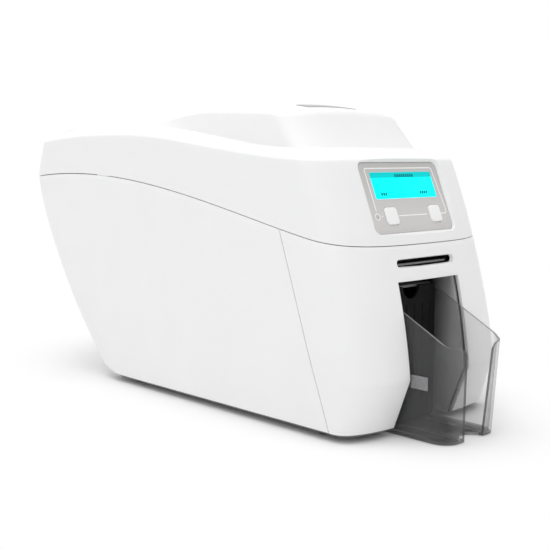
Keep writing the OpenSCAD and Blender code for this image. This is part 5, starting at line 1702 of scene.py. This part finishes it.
    def lamp(self) -> None:
        """The lamp's lens with a printed ring and a small printed dot beside it."""
        at = (self.lamp_x, self.key_h)
        made = prism("lamp_lens_piece", [(rounded(2 * r, 2 * r, r * 0.999, 6), h) for r, h in self.lens],
                     lambda a, b, c: PANEL.at(at[0] + a, at[1] + b, c), Shades.LAMP, self.lens_crease)
        bind(made, "lid_assembly", "lamp", "status_led")
        ring = [(at[0] + self.ring_r * math.cos(a), at[1] + self.ring_r * math.sin(a))
                for a in steps(0, 2 * math.pi, 14)[:-1]]
        self.line("lamp_ring", ring, True, self.ring_line)
        right, up, *rest = self.dot
        dot = PANEL.plate("printed_dot", at[0] + right, at[1] + up, *rest, Shades.PRINT)
        bind(dot, "lid_assembly")

    def build(self) -> None:
        """Builds everything on the panel."""
        self.bezel()
        self.display()
        self.line("printed_loop", self.loop, False)
        self.line("printed_tie", self.tie, False)
        for side, x in self.keys:
            self.key(side, x)
        self.lamp()


@dataclass
class Badge:
    """The blank plate at the front of the roof."""

    front_y: float = 93.0
    width: float = 52.0
    depth: float = 13.0
    across: int = 26
    along: int = 8
    proud: float = 0.4
    sunk: float = 0.5
    edge: float = 0.3

    def build(self) -> None:
        """Builds the plate, which follows the roof."""
        f = FORM

        def point(a: float, b: float, lift: float, inset: float) -> Point:
            """Point a across and b along the plate, lifted off the roof and set in from the edge."""
            x = a * (self.width / 2 - inset)
            y = mix(self.front_y + inset, self.front_y + self.depth - inset, b)
            return x + SHIFT_X, y, f.roof_z(x, y) + lift

        def face(lift: float, inset: float) -> list[Row]:
            """Rows of a face that follows the roof."""
            return [[point(a, b, lift, inset) for a in steps(-1, 1, self.across)]
                    for b in steps(0, 1, self.along)]

        made = shell("badge_plate", face(self.proud, 0.0), face(-self.sunk, 0.0), Shades.BADGE, self.edge)
        bind(made, "lid_assembly", "badge_grey", "top_badge")


# -------- hopper


@dataclass
class Hopper(Dressed):
    """The smoke-clear drawer with gate, lift plate and spring."""

    foot: float = 0.6
    thick: float = 1.8
    foot_half: float = 29.4
    spread: float = 0.0177
    reach: float = 44.0
    lean: float = 0.066
    corner: float = 12.5
    notch: float = 10.8
    notch_lean: float = 0.069
    back: float = 112.3
    side_z: float = 103.0
    bend_z: float = 66.4
    bend_s: float = 1.35
    end_z: float = 61.5
    end_from: float = 2.7
    end_run: float = 0.3
    end_drop: float = 2.2
    slope: float = 27.5
    rim_above: float = 40.0
    flange_half: float = 18.0
    flange_y: float = -40.0
    wall_rows: int = 8
    edge: float = 0.25
    crease: float = 32.0
    back_t: float = 1.7
    back_h: float = 94.0
    rib_x: float = 13.0
    rib_t: float = 1.8
    rib_y: Flat = (-43.5, 3.0)
    rib_top: float = 4.4
    floor_inset: float = 0.3
    back_inset: float = 0.2
    back_gap: float = 0.1
    pad: tuple[Point, Point] = ((-30.5, -27.7, 35.6), (-29.9, -13.8, 44.6))
    pad_edge: float = 0.12
    grip_ribs: Repeat = Repeat("grip_ribs", "card_hopper", Shades.FROST, (-30.55, -25.9, 40.1),
                               (0.3, 0.5, 7.4), 7, (0.0, 1.72, 0.0))
    gate_ribs: Repeat = Repeat("gate_ribs", "card_hopper", Shades.GATE, (-22.0, 10.8, 48.0),
                               (1.2, 0.7, 76.0), 6, (8.8, 0.0, 0.0))
    lift_grips: Repeat = Repeat("lift_grips", "card_lift", Shades.RUBBER, (0.0, 40.0, 99.62),
                                (36.0, 1.2, 0.3), 5, (0.0, 3.2, 0.0))
    lift_travel: float = 74.0

    def wall_point(self, s: float, z: float, inset: float) -> Flat:
        """Point of the wall's plan.

        Args:
            s: 0 to 1 from the back to the corner, 1 to 2 round it, 2 to 3 along the flange.
            z: height.
            inset: how far it is set in.

        Returns:
            The point's x and y, on the right.
        """
        up = z - self.foot
        half, front = self.foot_half + self.spread * up, -self.reach - self.lean * up
        if s <= 1:
            return half - inset, mix(self.back, front + self.corner, s)
        if s <= 2:
            t, r = math.radians(90 * (s - 1)), self.corner - inset
            return half - self.corner + r * math.cos(t), front + self.corner - r * math.sin(t)
        return mix(half - self.corner, self.notch + self.notch_lean * up, s - 2), front + inset

    def rim(self, s: float) -> float:
        """Height of the rim.

        Args:
            s: place along the wall.

        Returns:
            The height.
        """
        if s > self.bend_s:
            share = (s - self.bend_s) / (3 - self.bend_s)
            end = max(0.0, s - self.end_from) / self.end_run
            drop = self.end_drop * (1 - math.sqrt(max(0.0, 1 - end * end)))
            return mix(self.bend_z, self.end_z, share) - drop
        ahead = self.wall_point(s, self.bend_z, 0)[1] - self.wall_point(self.bend_s, self.bend_z, 0)[1]
        return min(self.side_z, self.bend_z + ahead * math.tan(math.radians(self.slope)))

    def side(self, sign: int) -> Object:
        """One side wall with its round corner and front flange.

        Args:
            sign: 1 for the right wall, -1 for the left one.

        Returns:
            The closed wall.
        """
        stations = [*steps(0, 0.42, 4), *steps(0.5, 1, 9), *steps(1, 2, 9)[1:], *steps(2, 3, 12)[1:]]

        def row(v: float, inset: float) -> Row:
            """Row of the wall, v of the way up."""
            heights = [mix(self.foot, self.rim(s), v) for s in stations]
            plan = [self.wall_point(s, z, inset) for s, z in zip(stations, heights)]
            return [(sign * x, y, z) for (x, y), z in zip(plan, heights)]

        def rows(inset: float) -> list[Row]:
            """Rows of a face, from the foot to the rim."""
            return [row(v, inset) for v in steps(0, 1, self.wall_rows)]

        return shell(f"hopper_side_{sign + 1}", rows(0.0), rows(self.thick), Shades.SMOKE, 0.0)

    def plate(self) -> Object:
        """The floor with round front corners and the thumb notch."""
        side = [self.wall_point(s, self.foot, self.floor_inset) for s in (0, *steps(1, 2, 9))]
        outline = side + [(-x, y) for x, y in reversed(side)]
        made = prism("hopper_floor", [(outline, self.foot), (outline, self.foot + self.thick)],
                     lambda a, b, z: (a, b, z), Shades.SMOKE)
        circle = [(self.notch * math.cos(a), self.notch * math.sin(a) - self.reach)
                  for a in steps(0, 2 * math.pi, 41)[:-1]]
        cut = prism("notch", [(circle, -1.0), (circle, 5.0)], lambda a, b, z: (a, b, z), Shades.SMOKE)
        combine(made, [cut], "DIFFERENCE")
        return made

    def mark_edges(self, made: Object) -> None:
        """Gives the rim and the flange ends the darker look of cut edges and thick plastic, and the floor a
        darker smoke as painted shade and a painted dark reflection.

        Args:
            made: the drawer.
        """
        for finish in (Shades.SMOKE_EDGE, Shades.SMOKE_END, Shades.SMOKE_FLOOR):
            made.data.materials.append(finish.material())
        for face in made.data.polygons:
            x, y, z = face.center / MM
            if face.normal.z > 0.5 and z > self.rim_above:
                face.material_index = 1
            elif (abs(face.normal.x) > 0.7 and abs(x + SHIFT_X) < self.flange_half
                  and y + SHIFT_Y < self.flange_y):
                face.material_index = 2
            # The floor's darker smoke is painted shade and a painted dark reflection
            elif abs(face.normal.z) > 0.7 and z < self.foot + self.thick + 0.1:
                face.material_index = 3

    def drawer(self) -> None:
        """Builds the drawer and binds it."""
        made = self.plate()
        half, back = self.foot_half - self.back_inset, self.back - self.back_gap
        parts = [self.side(-1), self.side(1),
                 block("hopper_back", (-half, back - self.back_t, self.foot + self.back_inset),
                       (half, back, self.back_h))]
        for x in (-self.rib_x, self.rib_x):
            parts.append(block("stack_rib", (x - self.rib_t / 2, self.rib_y[0], self.foot + 1),
                               (x + self.rib_t / 2, self.rib_y[1], self.rib_top)))
        combine(made, parts, "UNION")
        bevel(made, self.edge, angle=50.0)
        tidy(made, self.crease)
        self.mark_edges(made)
        made.name = "hopper_drawer"
        bind(made, "card_hopper", "smoke_clear", "hopper")

    def build(self) -> None:
        """Builds the drawer and what it carries."""
        self.drawer()
        pad = block("grip_pad", *self.pad, Shades.FROST)
        bevel(pad, self.pad_edge)
        bind(pad, "card_hopper")
        self.grip_ribs.row()
        self.refine("card_gate", "card_hopper", Shades.GATE, 0.3)
        self.gate_ribs.row()
        self.refine("lift_plate", "card_lift", Shades.PLATE, 0.35)
        self.lift_grips.row()
        spring = self.refine("lift_spring", "card_hopper", Shades.SPRING, 0.0, 60.0)
        compress(spring, self.lift_travel)


# -------- base and inside


@dataclass
class Base(Dressed):
    """Tray, feet, screws and bay liner."""

    feet: tuple[Flat, ...] = ((-56, 36), (68, 36), (-56, 250), (68, 250))
    foot_ring_z: float = 0.25
    foot_drum: Point = (1.6, 0.5, 0.0)
    foot_ring_r: float = 4.6
    screws: tuple[Flat, ...] = ((-44.5, 130), (44.5, 130), (-44.5, 262), (44.5, 262))
    cross_z: float = 2.22
    cross: Point = (3.2, 0.7, 0.12)
    ribs: Repeat = Repeat("tray_ribs", "case", Shades.TRAY, (6.0, 205.0, 4.15), (110.0, 2.0, 0.7), 8,
                          (0.0, 8.0, 0.0))

    def build(self) -> None:
        """Builds the base."""
        self.refine("base_tray", "case", Shades.TRAY, 0.5)
        self.refine("rubber_feet", "case", Shades.FOOT, 0.6, ROUND)
        for k, (x, y) in enumerate(self.feet):
            Repeat(f"foot_rings_{k}", "case", Shades.FOOT, (x, y, self.foot_ring_z), self.foot_drum, 10,
                   drum=True, sides=12).ring(self.foot_ring_r, "Z")
        self.ribs.row()
        # The liner's finish is lighter at the bay's mouth as painted light and darker deeper in as painted
        # shade
        self.refine("bay_liner", "case", Shades.LINER, 0.3, slot="black_plastic")
        self.refine("base_screws", "case", Shades.SHAFT, 0.2, ROUND)
        for k, (x, y) in enumerate(self.screws):
            cross = Repeat(f"screw_cross_{k}", "case", Shades.CHIP, (x, y, self.cross_z), self.cross, 4)
            cross.ring(0.0, "Z")


def driven(name: str, body: str) -> tuple[Refined, Refined]:
    """A driven shaft and its rubber roller."""
    return (Refined(f"{name}_shaft", body, Shades.SHAFT, 0.25, ROUND),
            Refined(f"{name}_roller", body, Shades.RUBBER, 0.4, ROUND))


def pinch(body: str) -> Refined:
    """The pinch roller of this body."""
    return Refined(f"{body}_roller", body, Shades.PINCH, 0.3, ROUND, slot="pinch_metal")


@dataclass
class Drive(Dressed):
    """Chassis, shafts, rollers, motor and belts."""

    plain: tuple[Refined, ...] = (
        Refined("chassis_left_plate", "case", Shades.SHEET, 0.2),
        Refined("chassis_right_plate", "case", Shades.SHEET, 0.2),
        Refined("cross_bars", "case", Shades.SHAFT, 0.35, ROUND),
        Refined("shaft_bushes", "case", Shades.BRASS, 0.2, ROUND, slot="brass"),
        Refined("card_bed", "case", Shades.BED, 0.3),
        # The diverter's finish paints light at the slot's mouth and shade deeper in
        Refined("card_diverter", "diverter", Shades.GUIDE_PAINTED_LIGHT_SHADE, 0.25, ROUND, slot="bed_plastic"),
        *driven("pick", "pick"),
        *driven("infeed", "infeed"),
        pinch("infeed_pinch"),
        Refined("cleaning_roller", "cleaner", Shades.CLEAN, 0.4, ROUND, slot="clean_rubber"),
        *driven("platen", "platen"),
        *driven("exit", "exit_drive"),
        pinch("exit_pinch"),
        Refined("transport_motor", "case", Shades.MOTOR, 0.5, 35.0),
        Refined("motor_pulley", "motor_rotor", Shades.SHAFT, 0.25, ROUND),
        Refined("drive_belts", "case", Shades.BELT, 0.2, ROUND, slot="belt"),
    )
    # Body, middle of the belt's lane along X, Y and Z of the axis, radius and number of teeth
    pulleys: tuple[tuple[str, float, float, float, float, int], ...] = (
        ("infeed", -45.0, 150.0, 110.22, 8.0, 24), ("infeed", -50.0, 150.0, 110.22, 8.0, 24),
        ("pick", -50.0, 66.0, 106.6, 8.0, 24), ("exit_drive", -45.0, 250.0, 110.22, 8.0, 24),
        ("platen", -45.0, 205.0, 109.22, 9.0, 27), ("motor_rotor", -45.0, 200.0, 60.0, 6.0, 18))
    tooth: Point = (3.9, 0.5, 0.9)
    band: Point = (0.8, 0.6, 18.0)
    band_x: Flat = (-22.0, -34.0)
    band_r: float = 20.9
    stiffeners: Repeat = Repeat("rail_stiffeners", "case", Shades.SHEET, (-39.6, 100.0, 60.0),
                                (0.5, 1.6, 60.0), 4, (0.0, 12.0, 0.0))

    def build(self) -> None:
        """Builds the drive."""
        for part in self.plain:
            part.build(self.nodes)
        for k, (body, x, y, z, radius, teeth) in enumerate(self.pulleys):
            Repeat(f"pulley_teeth_{k}", body, Shades.SHAFT, (x, y, z), self.tooth, teeth).ring(radius)
        *_, y, z, _, _ = self.pulleys[-1]
        for k, x in enumerate(self.band_x):
            Repeat(f"motor_bands_{k}", "case", Shades.SHEET, (x, y, z), self.band, 4).ring(self.band_r)
        self.stiffeners.row()


@dataclass
class Ribbon(Dressed):
    """Supply and take-up spools, the film between them and their motor."""

    # Half profile of the core, from its end to the wound film
    core: tuple[Flat, ...] = (
        (-41.9, 0.1), (-42.5, 1.5), (-42.5, 2.6), (-42.1, 3.0), (-36, 3.0), (-36, 6.4), (-35.6, 7.0))
    film_half: float = 29.0
    film_edge: float = 0.3
    film_bore: float = 6.0
    flange_x: float = 35.0
    flange_half: float = 1.0
    flange_edge: Flat = (0.4, 0.6)
    flange_bore: float = 6.5
    dog: Point = (1.4, 2.6, 1.2)
    dog_r: float = 5.2
    dog_out: float = 1.6
    dogs: int = 6
    sides: int = 72
    # Side, Y and Z of the axis, radius of the wound film, radius of the flanges, finish of the film
    spools: tuple[tuple[str, Flat, float, float, Finish], ...] = (
        ("supply", (247.0, 159.0), 17.0, 19.0, Shades.AMBER),
        ("takeup", (162.0, 159.0), 10.0, 16.0, Shades.BROWN))

    def spool(self, side: str, at: Flat, wound: float, flange: float, finish: Finish) -> None:
        """Builds a spool with its core, flanges and wound film.

        Args:
            side: supply or takeup, which is its body too.
            at: Y and Z of the axis.
            wound: radius of the wound film.
            flange: radius of the flanges.
            finish: finish of the film.
        """
        node = f"ribbon_{side}_spool"
        core = lathe(f"{node}_core", both_ends(self.core), at, Shades.CHIP, crease=ROUND)
        bind(core, side, "spool_amber" if side == "supply" else "spool_brown", node)
        end, edge = self.film_half, self.film_edge
        film = both_ends([(-end, self.film_bore), (-end, wound - edge), (edge - end, wound)])
        bind(lathe(f"{node}_roll", film, at, finish, self.sides, ROUND), side)
        half, (run, rise) = self.flange_half, self.flange_edge
        rim = both_ends([(-half, self.flange_bore), (-half, flange - rise), (run - half, flange)])
        for k, x in enumerate((-self.flange_x, self.flange_x)):
            disc = [(x + a, r) for a, r in rim]
            bind(lathe(f"{node}_flange_{k}", disc, at, Shades.PLATE, self.sides, ROUND), side)
            Repeat(f"{node}_dogs_{k}", side, Shades.CHIP, (x + math.copysign(self.dog_out, x), *at), self.dog,
                   self.dogs).ring(self.dog_r)

    def build(self) -> None:
        """Builds the ribbon."""
        for spool in self.spools:
            self.spool(*spool)
        self.refine("ribbon_film", "case", Shades.FILM, 0.0, ROUND, slot="film")
        self.refine("ribbon_motor", "case", Shades.MOTOR, 0.5, ROUND)


@dataclass
class LidFittings(Dressed):
    """Lid frame, hinges, magnets, print head and its springs."""

    plain: tuple[Refined, ...] = (
        Refined("lid_frame", "lid_assembly", Shades.FRAME, 0.5, 35.0),
        Refined("lcd_module", "lid_assembly", Shades.BOARD, 0.15),
        Refined("lid_hinge_leaves", "lid_assembly", Shades.SHEET, 0.2, 35.0),
        Refined("hinge_brackets", "case", Shades.SHEET, 0.2, 35.0),
        Refined("lid_hinge_pins", "case", Shades.SHAFT, 0.2, ROUND),
        Refined("lid_magnets", "case", Shades.MAGNET, 0.4, slot="magnet"),
        Refined("lid_strikers", "lid_assembly", Shades.SHEET, 0.15),
        Refined("print_head", "head", Shades.SINK, 0.2),
        Refined("head_carriage", "head", Shades.FRAME, 0.5, 35.0),
    )
    head_travel: float = 3.0
    # Half profile and axis of the bead that heats, and its sides
    bead: tuple[Flat, ...] = ((-27.5, 0.2), (-27.5, 1.0), (-27.0, 1.3))
    bead_at: Flat = (205.0, 119.4)
    bead_sides: int = 20
    contacts: Repeat = Repeat("head_contacts", "head", Shades.GOLD, (-25.0, 198.1, 150.5),
                              (1.0, 0.6, 3.0), 21, (2.5, 0.0, 0.0))
    ribs: Repeat = Repeat("carriage_ribs", "head", Shades.FRAME, (-24.0, 199.0, 156.5),
                          (1.4, 0.8, 13.0), 9, (6.0, 0.0, 0.0))
    rails: Flat = (-64.5, 76.5)
    web_at: Flat = (90.0, 184.5)
    web: Point = (6.0, 1.2, 1.0)
    web_step: Point = (0.0, 14.0, 0.0)

    def build(self) -> None:
        """Builds the fittings."""
        for part in self.plain:
            part.build(self.nodes)
        springs = self.refine("head_springs", "lid_assembly", Shades.SPRING, 0.0, 60.0)
        compress(springs, self.head_travel)
        bead = lathe("heater_bead", both_ends(self.bead), self.bead_at, Shades.GOLD, self.bead_sides, ROUND)
        bind(bead, "head")
        self.contacts.row()
        self.ribs.row()
        for k, x in enumerate(self.rails):
            Repeat(f"rail_webs_{k}", "lid_assembly", Shades.FRAME, (x, *self.web_at), self.web, 18,
                   self.web_step).row()


@dataclass
class Electronics(Dressed):
    """Main board with its components, sockets, switch and fan."""

    board_top: float = 91.6
    board_y: float = 268.0
    fan_y: float = 276.0
    fan_z: float = 28.0
    hub_out: float = 9.05
    hub_mark: Point = (0.6, 0.2, 2.6)
    hub_r: float = 5.4
    cans_x: Point = (-30.0, 24.0, 31.0)
    # Name, finish, place from the board's corner, size, number and step of the boxes in a row
    parts: tuple[tuple[str, Finish, Point, Point, int, Point], ...] = (
        ("chip_legs_a", Shades.STAMPED, (-22.6, 15.2, 0.35), (1.2, 0.4, 0.3), 15, (0.0, 1.0, 0.0)),
        ("chip_legs_b", Shades.STAMPED, (-5.4, 15.2, 0.35), (1.2, 0.4, 0.3), 15, (0.0, 1.0, 0.0)),
        ("resistors_a", Shades.CHIP, (-33.0, 36.0, 0.3), (1.6, 0.8, 0.6), 24, (2.9, 0.0, 0.0)),
        ("resistors_b", Shades.CHIP, (-30.0, 42.0, 0.3), (0.8, 1.6, 0.6), 18, (3.3, 0.0, 0.0)),
        ("capacitors", Shades.BRASS, (-31.0, 48.0, 0.45), (2.0, 1.2, 0.9), 12, (5.4, 0.0, 0.0)))
    marks: Repeat = Repeat("rocker_marks", "switch", Shades.PRINT, (-24.0, 354.3, 98.2), (3.2, 0.12, 0.5), 2,
                           (0.0, 0.15, 9.6))

    def board(self) -> None:
        """Builds the board with rows of small components."""
        z, y = self.board_top, self.board_y
        self.refine("main_board", "case", Shades.BOARD, 0.15)
        for name, finish, at, size, count, step in self.parts:
            Repeat(name, "case", finish, (at[0], y + at[1], z + at[2]), size, count, step).row()
        Repeat("solder_tips", "case", Shades.STAMPED, (-32.0, y + 4.0, z + 6.3), (0.5, 0.6, 0.0), 27,
               (2.4, 0.0, 0.0), drum=True, sides=8).row()
        for k, x in enumerate(self.cans_x):
            Repeat(f"can_top_{k}", "case", Shades.STAMPED, (x, y + 12.0, z + 8.95), (2.6, 0.2, 0.0), 1,
                   drum=True, sides=32).row()

    def sockets(self) -> None:
        """Builds the power inlet, the data and network sockets and the rocker switch."""
        z = self.board_top
        self.refine("power_inlet", "case", Shades.SOCKET, 0.25, 35.0)
        self.refine("usb_port", "case", Shades.STAMPED, 0.25, 35.0)
        self.refine("ethernet_port", "case", Shades.STAMPED, 0.25, 35.0)
        self.refine("power_switch", "switch", Shades.SOCKET, 0.3, 35.0)
        tongue = block("usb_tongue", (5.4, 344.0, z + 4.0), (10.6, 351.5, z + 7.0), Shades.CHIP)
        bevel(tongue, 0.2)
        bind(tongue, "case")
        Repeat("usb_contacts", "case", Shades.GOLD, (7.0, 348.0, z + 3.95), (0.6, 6.0, 0.2), 2,
               (2.0, 0.0, 0.0)).row()
        Repeat("network_contacts", "case", Shades.GOLD, (20.4, 347.5, z + 9.6), (0.35, 8.0, 0.25), 8,
               (1.02, 0.0, 0.0)).row()
        self.marks.row()

    def fan(self) -> None:
        """Builds the fan with marks on its hub."""
        # The fan takes the liner's finish, whose painted shade darkens it to nearly black this far back
        self.refine("cooling_fan", "case", Shades.LINER, 0.3, 35.0, slot="black_plastic")
        self.refine("fan_rotor", "fan", Shades.CHIP, 0.15, 35.0, slot="black_plastic")
        Repeat("fan_hub_marks", "fan", Shades.PLATE, (0.0, self.fan_y + self.hub_out, self.fan_z),
               self.hub_mark, 6).ring(self.hub_r, "Y")

    def build(self) -> None:
        """Builds the electronics."""
        self.board()
        self.sockets()
        self.fan()


# -------- studio


@dataclass
class Studio:
    """Pale floor, soft lamps, white surroundings and the camera."""

    azimuth: float = -43.68
    elevation: float = 6.954
    eye: Point = (-0.5387, -0.5850, 0.1886)
    lens: float = 63.29
    ambient: float = 0.72
    white_from: float = 0.2
    white_to: float = 0.33
    white_squeeze: Point = (1.8, 1.0, 1.0)
    floor_half: float = 30.0
    sensor: float = 36.0
    # Name, place, aim, size and power
    lamps: tuple[tuple[str, Point, Point, float, float], ...] = (
        ("top_lamp", (-0.2, 0.0, 1.5), (0.0, 0.0, 0.1), 1.6, 12.0),
        ("front_lamp", (-1.85, -0.4, 0.8), (0.0, 0.0, 0.12), 1.2, 2.25))

    def floor(self) -> None:
        """Large pale floor with a fine tone change."""
        mesh = bpy.data.meshes.new("floor")
        r = self.floor_half
        mesh.from_pydata([(-r, -r, 0), (r, -r, 0), (r, r, 0), (-r, r, 0)], [], [(0, 1, 2, 3)])
        pale = Shades.FLOOR.material()
        self._whiten(pale.node_tree)
        mesh.materials.append(pale)
        add_object("floor", mesh)

    def _whiten(self, tree: Tree) -> None:
        """Lets the floor run out into plain white away from the printer.

        Args:
            tree: tree of the floor's material.
        """
        place = tree.nodes.new("ShaderNodeTexCoord").outputs["Object"]
        squeeze = add_node(tree, "ShaderNodeVectorMath", {0: place, 1: self.white_squeeze},
                           operation="MULTIPLY")
        away = add_node(tree, "ShaderNodeVectorMath", {0: squeeze.outputs[0]}, operation="LENGTH")
        far = ranged(tree, away.outputs["Value"], (self.white_from, self.white_to), kind="SMOOTHSTEP")
        share = add_node(tree, "ShaderNodeMath", {0: far, 1: self._seen(tree)}, operation="MULTIPLY")
        plain = tree.nodes.new("ShaderNodeEmission")
        join = add_node(tree, "ShaderNodeMixShader", {
            0: share.outputs[0], 1: tree.nodes["Principled BSDF"].outputs[0], 2: plain.outputs[0]})
        tree.links.new(join.outputs[0], tree.nodes["Material Output"].inputs["Surface"])

    def _seen(self, tree: Tree) -> Socket:
        """1 for rays from the camera, in reflections and through clear pieces, 0 for light.

        Args:
            tree: the tree that gets it.

        Returns:
            The socket of its value.
        """
        path = tree.nodes.new("ShaderNodeLightPath")
        seen = path.outputs["Is Camera Ray"]
        for other in ("Is Glossy Ray", "Is Transmission Ray"):
            either = add_node(tree, "ShaderNodeMath", {0: seen, 1: path.outputs[other]}, operation="MAXIMUM")
            seen = either.outputs[0]
        return seen

    def lamp(self, name: str, place: Point, aim: Point, size: float, power: float) -> None:
        """Builds a soft square lamp.

        Args:
            name: name of the lamp.
            place: where it stands, in metres.
            aim: the point that it looks at.
            size: length of its sides in metres.
            power: its power in watts.
        """
        data = bpy.data.lights.new(name, "AREA")
        data.size = size
        data.energy = power
        made = add_object(name, data)
        made.location = place
        made.rotation_euler = (Vector(place) - Vector(aim)).to_track_quat("Z", "Y").to_euler()

    def world(self) -> None:
        """White to the camera, in reflections and through clear pieces; softer as light."""
        world = bpy.data.worlds.new("surroundings")
        world.use_nodes = True
        tree = world.node_tree
        back = tree.nodes["Background"]
        back.inputs["Color"].default_value = (1, 1, 1, 1)
        strength = ranged(tree, self._seen(tree), target=(self.ambient, 1.0))
        tree.links.new(strength, back.inputs["Strength"])
        bpy.context.scene.world = world

    def camera(self) -> None:
        """The camera."""
        data = bpy.data.cameras.new("camera")
        data.lens = self.lens
        data.sensor_width = self.sensor
        data.clip_start = 0.01
        made = add_object("camera", data)
        a, e = math.radians(self.azimuth), math.radians(self.elevation)
        back = Vector((math.sin(a) * math.cos(e), -math.cos(a) * math.cos(e), math.sin(e)))
        made.location = self.eye
        made.rotation_euler = back.to_track_quat("Z", "Y").to_euler()
        bpy.context.scene.camera = made

    def build(self) -> None:
        """Builds the studio."""
        self.floor()
        self.world()
        for lamp in self.lamps:
            self.lamp(*lamp)
        self.camera()
        bpy.context.scene.view_settings.view_transform = "Standard"


# -------- main


def main() -> None:
    """Builds the printer in order."""
    logging.basicConfig(level=logging.INFO, format="%(name)s %(message)s")
    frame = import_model()
    nodes = frame["nodes"]
    for outside in (LidShell(), FrontShell(), SidePanels(), RearShell(), ControlPanel(), Badge()):
        outside.build()
    for kind in (Hopper, Base, Drive, Ribbon, LidFittings, Electronics):
        kind(nodes).build()
    Studio().build()


if __name__ == "__main__":
    main()
